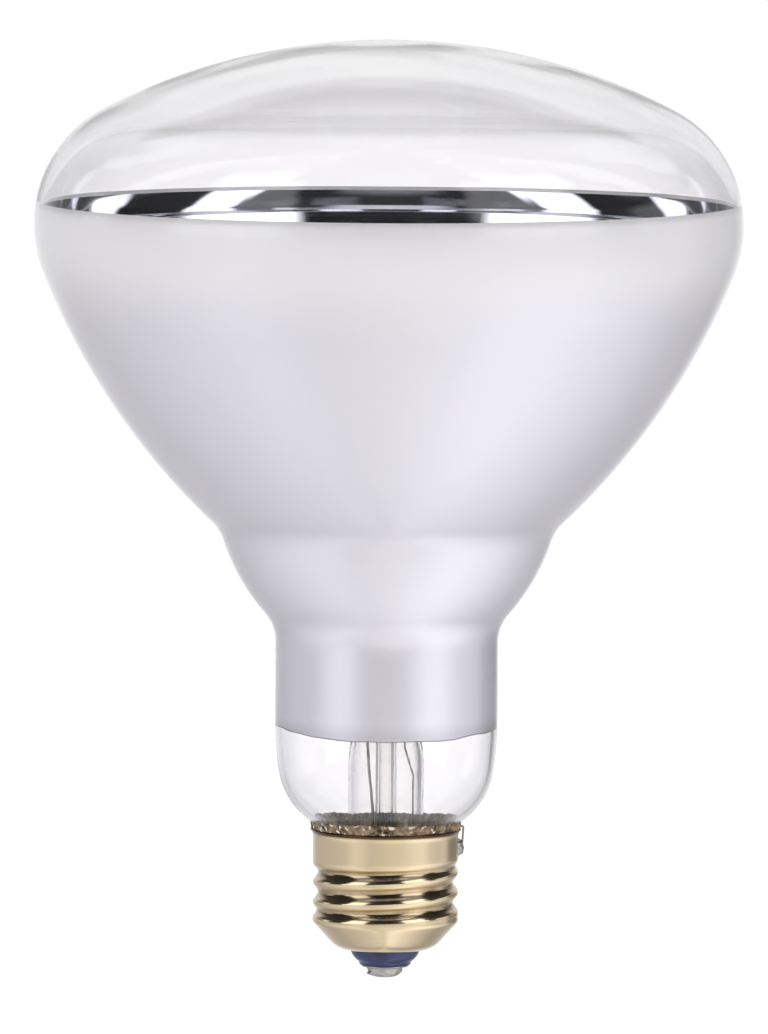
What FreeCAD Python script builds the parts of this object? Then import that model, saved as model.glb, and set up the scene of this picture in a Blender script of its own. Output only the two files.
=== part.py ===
"""Infrared reflector heat lamp bulb: each physical piece goes to its own STEP file, in millimetres."""
import math
import os

import FreeCAD
import Part

# The frame stands on the solder tip: Z runs up the lamp axis to the lens, and +X is the side solder.
# Heights add up from the solder tip, so the overall length of 168.4 follows from the sizes below.

# Solder tip, eyelet and insulator
TIP_H = 1.9
TIP_D = 5.2
TIP_FLAT_D = 1.8
EYELET_T = 0.4
EYELET_BARREL_H = 2.7
INSULATOR_SHOW = 2.76
INSULATOR_FILL = 3.44
INSULATOR_DISH = 1.6

# Brass screw shell, medium size
SHELL_D = 26.2
SHELL_WALL = 0.3
PITCH = 3.629
THREAD_DEPTH = 0.95
THREAD_H = 11.1
CREST_H = 4.9
BARREL_H = 5.15
RIM_FLARE_R = 1.7
RIM_FLARE_ANGLE = 45.0
CONE_H = 5.44
CONE_TOP_R = 1.0
CONE_LOW_R = 4.5
LIP_FLAT = 0.25

# Blown glass, outside sizes
BULB_D = 127.0
DOME_H = 33.0
CROWN_R = 111.0
BOWL_R = 125.6
BOWL_ANGLE = 21.7
CREASE_R = 8.0
CREASE_ANGLE = 18.2
BULGE_R = 37.8
BULGE_ANGLE = 41.5
NECK_D = 40.0
NECK_H = 13.07
NECK_FILLET_R = 7.4
DRAW_R = 80.0
DRAW_ANGLE = 7.0
SEAL_SHOULDER_R = 13.9
SEAL_FILLET_R = 5.0
SEAL_H = 4.6
GLASS_WALL = 1.0

# Mirror film on the inside of the glass
COATING_T = 0.15
COATING_ABOVE_WIDEST = 3.9
COATING_BELOW_NECK = 14.9

# Basing cement and side solder
CEMENT_OVER_RIM = 0.85
SIDE_SOLDER_OUT = 1.3
SIDE_SOLDER_WIDE = 2.1
SIDE_SOLDER_TALL = 1.7
SIDE_SOLDER_DROP = 3.25

# Stem, exhaust tube and arbor
STEM_D = 13.6
STEM_WALL = 1.0
STEM_H = 18.6
FLARE_R = 8.0
FLARE_LIP_R = 3.0
FLARE_LIP_H = 1.2
PINCH_H = 8.6
PRESS_H = 7.4
PRESS_WIDE = 11.8
PRESS_COVER = 0.5
BORE_WALL = 2.0
EXHAUST_D = 3.8
EXHAUST_BORE = 2.2
EXHAUST_SOCKET = 1.8
EXHAUST_TIP_GAP = 2.5
VENT_D = 1.8
ARBOR_D = 3.0
BEAD_D = 4.8

# Heat shield in the neck
SHIELD_GAP = 1.85
SHIELD_T = 0.3
SHIELD_H = 8.0
SHIELD_COLLAR_H = 2.2
SHIELD_BEND_R = 1.0
SHIELD_SLOPE_ANGLE = 80.0
SHIELD_RIM_H = 1.2

# Filament, supports and wires
FILAMENT_H = 2.9
FILAMENT_RING_D = 22.0
FILAMENT_D = 1.4
BEAD_DROP = 9.0
LEAD_AZIMUTH = -25.0
FILAMENT_END_ANGLE = 3.0
SUPPORTS = 5
SUPPORT_D = 0.3
INNER_LEAD_D = 0.8
SEAL_WIRE_D = 0.6
SEAL_WIRE_END = 1.6
OUTER_LEAD_D = 0.5
SIDE_LEAD_D = 0.35
LEAD_GAP = 1.9
WIRE_CLEARANCE = 0.05
HOOK_GRIP = 0.03
HOOK_TURN = 280.0

# Levels that follow from the heights
EYELET_Z = TIP_H
INSULATOR_Z = EYELET_Z + EYELET_T
LIP_Z = INSULATOR_Z + INSULATOR_SHOW
INSULATOR_TOP_Z = LIP_Z + INSULATOR_FILL
THREAD_LOW_Z = LIP_Z + CONE_H
THREAD_TOP_Z = THREAD_LOW_Z + THREAD_H
CREST_Z = THREAD_LOW_Z + CREST_H
RIM_Z = THREAD_TOP_Z + BARREL_H
SEAL_TOP_Z = RIM_Z - 0.55 * SEAL_FILLET_R
SEAL_LOW_Z = SEAL_TOP_Z - SEAL_H
PINCH_Z = SEAL_LOW_Z + STEM_H
PRESS_Z = PINCH_Z + PINCH_H
PRESS_TOP_Z = PRESS_Z + PRESS_H
BORE_TOP_Z = PRESS_Z - BORE_WALL
EXHAUST_TOP_Z = BORE_TOP_Z + EXHAUST_SOCKET
EXHAUST_TIP_Z = INSULATOR_TOP_Z + EXHAUST_TIP_GAP
SEAL_WIRE_LOW_Z = BORE_TOP_Z - SEAL_WIRE_END
SEAL_WIRE_TOP_Z = PRESS_TOP_Z + SEAL_WIRE_END
SHIELD_Z = PRESS_TOP_Z + SHIELD_H

# Sizes that follow from the ones they have to clear or meet
SHELL_R = SHELL_D / 2
LIP_R = 0.481 * SHELL_R
INSULATOR_R = 0.746 * LIP_R
EYELET_R = 0.904 * INSULATOR_R
EYELET_BARREL_R = 0.255 * LIP_R
NECK_R = NECK_D / 2
SEAL_R = SHELL_R - SHELL_WALL - THREAD_DEPTH - SIDE_LEAD_D - 2 * WIRE_CLEARANCE
STEM_R = STEM_D / 2
LEAD_X = ARBOR_D / 2 + LEAD_GAP
PRESS_THICK = EXHAUST_D + 2 * PRESS_COVER
FILAMENT_RING_R = FILAMENT_RING_D / 2
SHIELD_R = NECK_R - GLASS_WALL - COATING_T - SHIELD_GAP
CEMENT_UNDER_RIM = 0.94 * BARREL_H

UP = FreeCAD.Vector(0, 0, 1)
ORIGIN = FreeCAD.Vector(0, 0, 0)


def cosine(degrees):
    return math.cos(math.radians(degrees))


def sine(degrees):
    return math.sin(math.radians(degrees))


def at(point, azimuth=0.0):
    """The model point for a radius and height, turned to an azimuth."""
    return FreeCAD.Vector(point[0] * cosine(azimuth), point[0] * sine(azimuth), point[1])


class Outline:
    """Half section of a turned sheet: points with outward normals, joined by lines and tangent arcs."""

    def __init__(self, point, normal):
        self.points = [point]
        self.normals = [normal]
        self.radii = []

    def arc(self, radius, normal):
        """Adds an arc that ends where its normal reaches the angle; a hollow arc has a negative radius."""
        r, z = self.points[-1]
        start = self.normals[-1]
        r += radius * (cosine(normal) - cosine(start))
        z += radius * (sine(normal) - sine(start))
        self.points.append((r, z))
        self.normals.append(normal)
        self.radii.append(radius)
        return self

    def line(self, length):
        """Adds a straight run, taken clockwise from the normal."""
        r, z = self.points[-1]
        normal = self.normals[-1]
        self.points.append((r + length * sine(normal), z - length * cosine(normal)))
        self.normals.append(normal)
        self.radii.append(None)
        return self

    def inset(self, index, depth):
        r, z = self.points[index]
        normal = self.normals[index]
        return (r - depth * cosine(normal), z - depth * sine(normal))

    def between(self, top_z, low_z, depth):
        """The part of the outline between two heights, read on the surface at that depth."""
        part = Outline(*self.station(top_z, depth)[1:])
        first = self.station(top_z, depth)[0]
        last, point, normal = self.station(low_z, depth)
        for leg in range(first, last + 1):
            end = (point, normal) if leg == last else (self.points[leg + 1], self.normals[leg + 1])
            part.points.append(end[0])
            part.normals.append(end[1])
            part.radii.append(self.radii[leg])
        return part

    def station(self, height, depth):
        """Leg number, point and normal where the surface at that depth crosses the height."""
        for leg, radius in enumerate(self.radii):
            top = self.inset(leg, depth)
            low = self.inset(leg + 1, depth)
            if not low[1] <= height <= top[1]:
                continue
            if radius is None:
                share = (top[1] - height) / (top[1] - low[1])
                r = self.points[leg][0] + share * (self.points[leg + 1][0] - self.points[leg][0])
                z = self.points[leg][1] + share * (self.points[leg + 1][1] - self.points[leg][1])
                return leg, (r, z), self.normals[leg]
            normal = self.normals[leg]
            centre_r = self.points[leg][0] - radius * cosine(normal)
            centre_z = self.points[leg][1] - radius * sine(normal)
            normal = math.degrees(math.asin((height - centre_z) / (radius - depth)))
            return leg, (centre_r + radius * cosine(normal), centre_z + radius * sine(normal)), normal
        raise ValueError("the outline doesn't reach z %.2f" % height)

    def split(self, height, depth):
        """Adds a point where the surface at that depth crosses the height."""
        leg, point, normal = self.station(height, depth)
        self.points.insert(leg + 1, point)
        self.normals.insert(leg + 1, normal)
        self.radii.insert(leg, self.radii[leg])

    def radius_at(self, height, depth=0.0):
        leg, point, normal = self.station(height, depth)
        return point[0] - depth * cosine(normal)

    def edges(self, depth=0.0):
        made = []
        for leg, radius in enumerate(self.radii):
            start = self.inset(leg, depth)
            end = self.inset(leg + 1, depth)
            if radius is None:
                made.append(Part.makeLine(at(start), at(end)))
                continue
            middle = (self.normals[leg] + self.normals[leg + 1]) / 2
            centre_r = self.points[leg][0] - radius * cosine(self.normals[leg])
            centre_z = self.points[leg][1] - radius * sine(self.normals[leg])
            reach = radius - depth
            through = (centre_r + reach * cosine(middle), centre_z + reach * sine(middle))
            made.append(Part.Arc(at(start), at(through), at(end)).toShape())
        return made


def turned(edges):
    """A solid of revolution from the closed half section that the edges make."""
    wire = Part.Wire(Part.sortEdges(edges)[0])
    return Part.Face(wire).revolve(ORIGIN, UP, 360)


def turned_sheet(outline, near, far):
    """The turned skin between two depths of an outline, its ends cut square."""
    edges = outline.edges(near) + outline.edges(far)
    for end in (0, len(outline.points) - 1):
        edges.append(Part.makeLine(at(outline.inset(end, near)), at(outline.inset(end, far))))
    return turned(edges)


def path(*points):
    """Straight edges through radius and height pairs."""
    return [Part.makeLine(at(a), at(b)) for a, b in zip(points, points[1:])]


def spline_side(radius, low_z, top_z, around, rows):
    """A smooth side face whose radius is a function of azimuth and height."""
    step = 360.0 / around
    gain = (2 + cosine(step)) / 3
    knots = [low_z + (top_z - low_z) * row / rows for row in range(rows + 1)]
    padded = [low_z] * 3 + knots + [top_z] * 3
    heights = [sum(padded[row + 1:row + 4]) / 3 for row in range(rows + 3)]
    poles = []
    for index in range(around):
        azimuth = step * index
        poles.append([at((radius(azimuth, height) / gain, height), azimuth) for height in heights])
    surface = Part.BSplineSurface()
    surface.buildFromPolesMultsKnots(
        poles, [1] * (around + 1), [4] + [1] * (rows - 1) + [4],
        [float(index) for index in range(around + 1)], knots, True, False, 3, 3)
    return surface.toShape()


def end_wire(face, height):
    """The closed edge of a spline side at one end."""
    rings = [edge for edge in face.Edges if edge.isClosed()]
    return Part.Wire([edge for edge in rings if abs(edge.CenterOfGravity.z - height) < 1e-3])


def closed(faces):
    """A solid sewn from faces that close a volume."""
    shell = Part.Compound(faces)
    shell.sewShape(1e-5)
    solid = Part.makeSolid(shell.Shells[0])
    if solid.Volume < 0:
        solid.reverse()
    return solid


def spline_sleeve(outer, inner, low_z, top_z):
    """A solid between two spline sides that share their end planes."""
    faces = [outer, inner]
    for height in (low_z, top_z):
        ends = [end_wire(outer, height), end_wire(inner, height)]
        faces.append(Part.makeFace(ends, "Part::FaceMakerBullseye"))
    return closed(faces)


def spline_plug(side, low_z, top_z):
    """A full solid inside one spline side."""
    return closed([side] + [Part.Face(end_wire(side, height)) for height in (low_z, top_z)])


def smooth(share):
    share = max(0.0, min(1.0, share))
    return share * share * (3 - 2 * share)


def bent_wire(points, diameter, bend, hook=None):
    """Round wire through the points, each corner bent to a radius; a hook (centre, turn) may follow."""
    edges = []
    start = points[0]
    for corner, after in zip(points[1:-1], points[2:]):
        arriving = (corner - start).normalize()
        leaving = (after - corner).normalize()
        half = arriving.getAngle(leaving) / 2
        trim = bend * math.tan(half)
        entry = corner - arriving * trim
        leave = corner + leaving * trim
        inward = (leaving - arriving).normalize()
        centre = corner + inward * (bend / math.cos(half))
        edges.append(Part.makeLine(start, entry))
        edges.append(Part.Arc(entry, centre - inward * bend, leave).toShape())
        start = leave
    edges.append(Part.makeLine(start, points[-1]))
    if hook:
        centre, turn = hook
        arm = points[-1] - centre
        side = arm.cross(points[-1] - points[-2])
        stops = []
        for share in (0.5, 1.0):
            rotation = FreeCAD.Rotation(side, turn * share)
            stops.append(centre + rotation.multVec(arm))
        edges.append(Part.Arc(points[-1], stops[0], stops[1]).toShape())
    spine = Part.Wire(edges)
    profile = Part.Wire([Part.makeCircle(diameter / 2, points[0], (points[1] - points[0]))])
    return spine.makePipeShell([profile], True, False)


def bulb_outline():
    """Outside of the blown glass from the crown of the lens to the sealing edge."""
    half = BULB_D / 2
    drop = CROWN_R - DOME_H
    shoulder = (CROWN_R ** 2 - half ** 2 - drop ** 2) / (2 * (CROWN_R - half))
    lens_edge = math.degrees(math.atan2(drop, half - shoulder))
    outline = Outline((0.0, 0.0), 90.0)
    outline.arc(CROWN_R, lens_edge)
    outline.arc(shoulder, -BOWL_ANGLE)
    waist = NECK_R - outline.points[-1][0] + BOWL_R * cosine(BOWL_ANGLE) + CREASE_R * cosine(CREASE_ANGLE)
    waist -= BULGE_R * (cosine(BULGE_ANGLE) - cosine(CREASE_ANGLE))
    waist += NECK_FILLET_R * (1 - cosine(BULGE_ANGLE))
    bowl_end = math.degrees(math.acos(waist / (BOWL_R + CREASE_R)))
    outline.arc(BOWL_R, -bowl_end)
    outline.arc(-CREASE_R, -CREASE_ANGLE)
    outline.arc(BULGE_R, -BULGE_ANGLE)
    outline.arc(-NECK_FILLET_R, 0.0)
    outline.line(NECK_H)
    seal = SEAL_R - NECK_R - DRAW_R * (cosine(DRAW_ANGLE) - 1)
    seal += SEAL_SHOULDER_R * cosine(DRAW_ANGLE) + SEAL_FILLET_R
    turn = math.degrees(math.acos(seal / (SEAL_SHOULDER_R + SEAL_FILLET_R)))
    outline.arc(DRAW_R, -DRAW_ANGLE)
    outline.arc(SEAL_SHOULDER_R, -turn)
    outline.arc(-SEAL_FILLET_R, 0.0)
    outline.line(SEAL_H)
    rise = SEAL_LOW_Z - outline.points[-1][1]
    outline.points = [(r, z + rise) for r, z in outline.points]
    return outline


def film_ends(outline):
    """Heights between which the inside of the glass is coated."""
    top = outline.points[0][1] - DOME_H + COATING_ABOVE_WIDEST
    low = outline.points[6][1] - COATING_BELOW_NECK
    return top, low


def make_envelope(outline):
    """The blown glass; its inner face is divided where the film starts and ends."""
    inside = bulb_outline()
    for height in film_ends(outline):
        inside.split(height, GLASS_WALL)
    edges = outline.edges() + inside.edges(GLASS_WALL)
    edges += path(outline.points[-1], outline.inset(-1, GLASS_WALL))
    edges += path(outline.points[0], outline.inset(0, GLASS_WALL))
    return turned(edges)


def make_coating(outline):
    coated = outline.between(*film_ends(outline), GLASS_WALL)
    return turned_sheet(coated, GLASS_WALL, GLASS_WALL + COATING_T)


def rim_outline():
    """Outside of the shell barrel, from the flared rim down to the thread."""
    flare = RIM_FLARE_R * sine(RIM_FLARE_ANGLE)
    spread = RIM_FLARE_R * (1 - cosine(RIM_FLARE_ANGLE))
    outline = Outline((SHELL_R + spread, RIM_Z), -RIM_FLARE_ANGLE)
    outline.arc(-RIM_FLARE_R, 0.0)
    outline.line(RIM_Z - flare - THREAD_TOP_Z)
    return outline


def cone_outline():
    """Outside of the coned end of the shell: a straight cone between rounded corners, then the lip."""
    across = SHELL_R - CONE_TOP_R - LIP_R - LIP_FLAT
    rise = CONE_H - CONE_LOW_R
    cone = math.degrees(math.acos((CONE_LOW_R - CONE_TOP_R) / math.hypot(across, rise)))
    cone -= math.degrees(math.atan2(rise, across))
    run = math.sqrt(across ** 2 + rise ** 2 - (CONE_LOW_R - CONE_TOP_R) ** 2)
    outline = Outline((SHELL_R, THREAD_LOW_Z), 0.0)
    outline.arc(CONE_TOP_R, -cone)
    outline.line(run)
    outline.arc(CONE_LOW_R, -90.0)
    outline.line(LIP_FLAT)
    return outline


def thread_side(depth):
    """Spline side of the rolled thread, a right-hand wave that fades out at both ends."""
    fade = 0.6 * PITCH
    rows = round((THREAD_TOP_Z - THREAD_LOW_Z) / PITCH * 16)
    softened = (2 + cosine(360.0 / 16)) / 3

    def radius(azimuth, height):
        share = min(height - THREAD_LOW_Z, THREAD_TOP_Z - height) / fade
        wave = 1 - cosine(azimuth - 360.0 * (height - CREST_Z) / PITCH)
        return SHELL_R - depth - wave / 2 * THREAD_DEPTH / softened * smooth(share)

    return spline_side(radius, THREAD_LOW_Z, THREAD_TOP_Z, 60, rows)


def make_shell():
    thread = spline_sleeve(thread_side(0.0), thread_side(SHELL_WALL), THREAD_LOW_Z, THREAD_TOP_Z)
    barrel = turned_sheet(rim_outline(), 0.0, SHELL_WALL)
    cone = turned_sheet(cone_outline(), 0.0, SHELL_WALL)
    return barrel.fuse([thread, cone], 1e-4)


def make_cement(outline):
    """Ring between the glass and the shell, its top sloping up to the glass."""
    rim = rim_outline()
    rim.points.pop()
    rim.normals.pop()
    rim.radii.pop()
    low_z = RIM_Z - CEMENT_UNDER_RIM
    barrel_low = (SHELL_R - SHELL_WALL, low_z)
    glass = outline.between(RIM_Z + CEMENT_OVER_RIM, low_z, 0.0)
    edges = rim.edges(SHELL_WALL) + glass.edges()
    edges += path(rim.inset(-1, SHELL_WALL), barrel_low, glass.points[-1])
    edges += path(rim.inset(0, SHELL_WALL), glass.points[0])
    return turned(edges)


def make_insulator():
    """Glass that fills the coned end, shows below the lip and has a hole for the eyelet."""
    cone = cone_outline()
    leg, point, normal = cone.station(INSULATOR_TOP_Z, SHELL_WALL)
    seat = Outline(point, normal)
    seat.points += cone.points[leg + 1:]
    seat.normals += cone.normals[leg + 1:]
    seat.radii += cone.radii[leg:]
    edge = seat.inset(0, SHELL_WALL)
    foot = (INSULATOR_R, INSULATOR_Z + 0.18 * INSULATOR_SHOW)
    belly = (LIP_R - 0.3 * (LIP_R - INSULATOR_R), LIP_Z - 0.52 * (LIP_Z - foot[1]))
    dish = (EYELET_BARREL_R, INSULATOR_TOP_Z - INSULATOR_DISH)
    middle = ((dish[0] + edge[0]) / 2, INSULATOR_TOP_Z - 0.85 * INSULATOR_DISH)
    edges = seat.edges(SHELL_WALL)
    edges += path(seat.inset(-1, SHELL_WALL), seat.points[-1])
    edges.append(Part.Arc(at(seat.points[-1]), at(belly), at(foot)).toShape())
    edges += path(foot, (0.98 * INSULATOR_R, INSULATOR_Z), (EYELET_BARREL_R, INSULATOR_Z), dish)
    edges.append(Part.Arc(at(dish), at(middle), at(edge)).toShape())
    return turned(edges)


def make_contact():
    """Brass eyelet: a flange on the insulator and a barrel up its hole."""
    bore = EYELET_BARREL_R - EYELET_T
    top = INSULATOR_Z + EYELET_BARREL_H
    corner = 0.4 * EYELET_T
    return turned(path(
        (bore, EYELET_Z), (EYELET_R - corner, EYELET_Z), (EYELET_R, EYELET_Z + corner),
        (EYELET_R, INSULATOR_Z), (EYELET_BARREL_R, INSULATOR_Z), (EYELET_BARREL_R, top),
        (bore, top), (bore, EYELET_Z)))


def make_centre_solder():
    """Solder that plugs the eyelet and domes below it to a small flat."""
    bore = EYELET_BARREL_R - EYELET_T
    plug = INSULATOR_Z + 0.45 * EYELET_BARREL_H
    flat = TIP_FLAT_D / 2
    edge = (TIP_D / 2, EYELET_Z)
    bulge = (flat + 0.74 * (edge[0] - flat), 0.34 * EYELET_Z)
    edges = path((flat, 0.0), (0.0, 0.0), (0.0, plug), (bore, plug), (bore, EYELET_Z), edge)
    edges.append(Part.Arc(at(edge), at(bulge), at((flat, 0.0))).toShape())
    return turned(edges)


def make_side_solder():
    """A bead of solder against the barrel."""
    sunk = 0.3 * SIDE_SOLDER_OUT
    bead_z = RIM_Z - SIDE_SOLDER_DROP
    bead = Part.makeSphere(1.0)
    stretch = FreeCAD.Matrix()
    stretch.scale(SIDE_SOLDER_OUT + sunk, SIDE_SOLDER_WIDE, SIDE_SOLDER_TALL)
    bead = bead.transformGeometry(stretch)
    bead.translate(FreeCAD.Vector(SHELL_R - sunk, 0, bead_z))
    low = FreeCAD.Vector(0, 0, bead_z - 2 * SIDE_SOLDER_TALL)
    core = Part.makeCylinder(SHELL_R, 4 * SIDE_SOLDER_TALL, low)
    return bead.cut(core)


def flare_outline(outline):
    """Outside of the stem tube, from the pinch down to the flare that meets the bulb neck."""
    lip_r = outline.inset(-1, GLASS_WALL)[0]
    turn = math.degrees(math.acos(1 - (lip_r - STEM_R) / (FLARE_R + FLARE_LIP_R)))
    fall = (FLARE_R + FLARE_LIP_R) * sine(turn)
    stem = Outline((STEM_R, PINCH_Z), 0.0)
    stem.line(STEM_H - fall - FLARE_LIP_H)
    stem.arc(-FLARE_R, turn)
    stem.arc(FLARE_LIP_R, 0.0)
    stem.line(FLARE_LIP_H)
    return stem


def press_radius(wall, thick, top_z):
    """Radius of the stem as the round tube is pinched flat towards the height."""
    wide = PRESS_WIDE / 2 - wall
    tube = STEM_R - wall

    def radius(azimuth, height):
        share = smooth((height - PINCH_Z) / (top_z - PINCH_Z) * 1.15 - 0.15)
        half_x = tube + share * (wide - tube)
        half_y = tube + share * (thick - tube)
        power = 2 + 2 * share
        total = abs(cosine(azimuth) / half_x) ** power + abs(sine(azimuth) / half_y) ** power
        return total ** (-1 / power)

    return radius


def make_stem(outline):
    """Flared tube with the pinched press, the exhaust socket and its vent into the bulb."""
    tube = turned_sheet(flare_outline(outline), 0.0, STEM_WALL)
    outer = spline_side(press_radius(0.0, PRESS_THICK / 2, PRESS_Z), PINCH_Z, PRESS_TOP_Z, 64, 24)
    inner = spline_side(press_radius(STEM_WALL, PRESS_THICK / 4, PRESS_Z), PINCH_Z, BORE_TOP_Z, 64, 12)
    press = spline_plug(outer, PINCH_Z, PRESS_TOP_Z).cut(spline_plug(inner, PINCH_Z, BORE_TOP_Z))
    stem = tube.fuse([press], 1e-4)
    base = FreeCAD.Vector(0, 0, PINCH_Z)
    vent_z = EXHAUST_TOP_Z + VENT_D / 2
    socket = Part.makeCylinder(EXHAUST_D / 2, EXHAUST_TOP_Z - PINCH_Z, base)
    rise = Part.makeCylinder(EXHAUST_BORE / 2, vent_z - PINCH_Z, base)
    vent = Part.makeCylinder(VENT_D / 2, PRESS_THICK, FreeCAD.Vector(0, 0, vent_z), FreeCAD.Vector(0, 1, 0))
    return stem.cut([socket, rise, vent])


def make_exhaust():
    """Pump tube, closed to a round tip where it was sealed off."""
    outer = EXHAUST_D / 2
    tube = Outline((outer, EXHAUST_TOP_Z), 0.0)
    tube.line(EXHAUST_TOP_Z - EXHAUST_TIP_Z - outer)
    tube.arc(outer, -90.0)
    return turned_sheet(tube, 0.0, outer - EXHAUST_BORE / 2)


def make_arbor(bead_z):
    """Glass rod on the press with a bead that holds the supports."""
    rod = ARBOR_D / 2
    bead = BEAD_D / 2
    join_z = bead_z - math.sqrt(bead ** 2 - rod ** 2)
    edges = path((0, bead_z + bead), (0, PRESS_TOP_Z), (rod, PRESS_TOP_Z), (rod, join_z))
    edges.append(Part.Arc(at((rod, join_z)), at((bead, bead_z)), at((0, bead_z + bead))).toShape())
    return turned(edges)


def make_shield():
    """Dished disc with a drawn collar round the arbor and clearance holes for the leads."""
    profile = Outline((ARBOR_D / 2 + SHIELD_T, SHIELD_Z + SHIELD_COLLAR_H + SHIELD_BEND_R), 0.0)
    profile.line(SHIELD_COLLAR_H)
    profile.arc(-SHIELD_BEND_R, SHIELD_SLOPE_ANGLE)
    reach = SHIELD_R - profile.points[-1][0] - SHIELD_BEND_R * (1 - cosine(SHIELD_SLOPE_ANGLE))
    profile.line(reach / sine(SHIELD_SLOPE_ANGLE))
    profile.arc(SHIELD_BEND_R, 0.0)
    profile.line(SHIELD_RIM_H)
    holes = []
    for side in (-1, 1):
        low = FreeCAD.Vector(side * LEAD_X, 0, SHIELD_Z - SHIELD_R / 2)
        holes.append(Part.makeCylinder(INNER_LEAD_D, SHIELD_R, low))
    return turned_sheet(profile, 0.0, SHIELD_T).cut(holes)


def hook_line(azimuth, height, wire_d, start):
    """Wire that comes out along the azimuth under the filament and hooks round it."""
    ring = at((FILAMENT_RING_R, height), azimuth)
    under = ring - UP * (FILAMENT_D / 2 + wire_d / 2 - HOOK_GRIP)
    approach = under - at((0.2 * FILAMENT_RING_R, 0.0), azimuth)
    return bent_wire(start + [approach, under], wire_d, 1.6 * wire_d, (ring, HOOK_TURN))


def make_supports(height):
    """Support hooks, spaced evenly between the two leads."""
    arc = 180.0 - 2 * LEAD_AZIMUTH
    bead_z = height - BEAD_DROP
    supports = []
    for index in range(SUPPORTS):
        azimuth = LEAD_AZIMUTH + arc * (index + 1) / (SUPPORTS + 1)
        start = [at((0.19 * BEAD_D, bead_z), azimuth), at((0.75 * BEAD_D, bead_z), azimuth)]
        supports.append(hook_line(azimuth, height, SUPPORT_D, start))
    return supports


def make_filament(height):
    """Room the coiled wire fills, a ring open between the leads."""
    arc = 180.0 - 2 * LEAD_AZIMUTH + 2 * FILAMENT_END_ANGLE
    centre = FreeCAD.Vector(0, 0, height)
    ring = Part.makeTorus(FILAMENT_RING_R, FILAMENT_D / 2, centre, UP, 0, 360, arc)
    ring.rotate(ORIGIN, UP, LEAD_AZIMUTH - FILAMENT_END_ANGLE)
    return ring


def make_inner_lead(side, height):
    """Lead from the seal wire, up through the shield and out to a filament end."""
    azimuth = LEAD_AZIMUTH if side > 0 else 180.0 - LEAD_AZIMUTH
    low = FreeCAD.Vector(side * LEAD_X, 0, SEAL_WIRE_TOP_Z)
    bend = FreeCAD.Vector(side * LEAD_X, 0, SHIELD_Z + SHIELD_COLLAR_H + 2 * SHIELD_BEND_R)
    return hook_line(azimuth, height, INNER_LEAD_D, [low, bend])


def make_seal_wire(side):
    low = FreeCAD.Vector(side * LEAD_X, 0, SEAL_WIRE_LOW_Z)
    return Part.makeCylinder(SEAL_WIRE_D / 2, SEAL_WIRE_TOP_Z - SEAL_WIRE_LOW_Z, low)


def make_centre_lead():
    """Left-hand wire, past the tipped exhaust tube, through the insulator and into the solder."""
    beside = (EXHAUST_D + OUTER_LEAD_D) / 2 + 4 * WIRE_CLEARANCE
    points = [
        FreeCAD.Vector(-LEAD_X, 0, SEAL_WIRE_LOW_Z),
        FreeCAD.Vector(-LEAD_X, 0, SEAL_WIRE_LOW_Z - SEAL_WIRE_END),
        FreeCAD.Vector(-beside, 0, SEAL_WIRE_LOW_Z - 0.7 * STEM_H),
        FreeCAD.Vector(-beside - 4 * WIRE_CLEARANCE, 0, EXHAUST_TIP_Z - 0.2 * EXHAUST_TIP_GAP),
        FreeCAD.Vector(0, 0, INSULATOR_TOP_Z - 0.9 * INSULATOR_DISH),
        FreeCAD.Vector(0, 0, EYELET_Z / 2)]
    return bent_wire(points, OUTER_LEAD_D, 2 * OUTER_LEAD_D)


def make_side_lead(outline):
    """Right-hand wire, under the sealed edge, up beside the neck and over the rim into the bead."""
    wire_r = SIDE_LEAD_D / 2
    beside = STEM_R - STEM_WALL - 0.9 * STEM_WALL
    run = SEAL_R + wire_r + WIRE_CLEARANCE
    under_z = SEAL_LOW_Z - 3 * SIDE_LEAD_D
    over_z = RIM_Z + SHELL_WALL + wire_r + WIRE_CLEARANCE
    inside = outline.radius_at(over_z) + wire_r + WIRE_CLEARANCE
    outside = rim_outline().points[0][0] + wire_r + 4 * WIRE_CLEARANCE
    points = [
        FreeCAD.Vector(LEAD_X, 0, SEAL_WIRE_LOW_Z),
        FreeCAD.Vector(LEAD_X, 0, SEAL_WIRE_LOW_Z - SEAL_WIRE_END),
        FreeCAD.Vector(beside, 0, SEAL_WIRE_LOW_Z - 0.35 * STEM_H),
        FreeCAD.Vector(beside, 0, under_z),
        FreeCAD.Vector(run, 0, under_z),
        FreeCAD.Vector(run, 0, SEAL_TOP_Z - 3 * SIDE_LEAD_D),
        FreeCAD.Vector(run + 0.9 * SIDE_LEAD_D, 0, SEAL_TOP_Z + 0.25 * SEAL_FILLET_R),
        FreeCAD.Vector(inside, 0, over_z),
        FreeCAD.Vector(outside, 0, over_z),
        FreeCAD.Vector(SHELL_R + SIDE_SOLDER_OUT / 2, 0, RIM_Z - 0.85 * SIDE_SOLDER_DROP)]
    return bent_wire(points, SIDE_LEAD_D, 0.85 * SIDE_LEAD_D)


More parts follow.
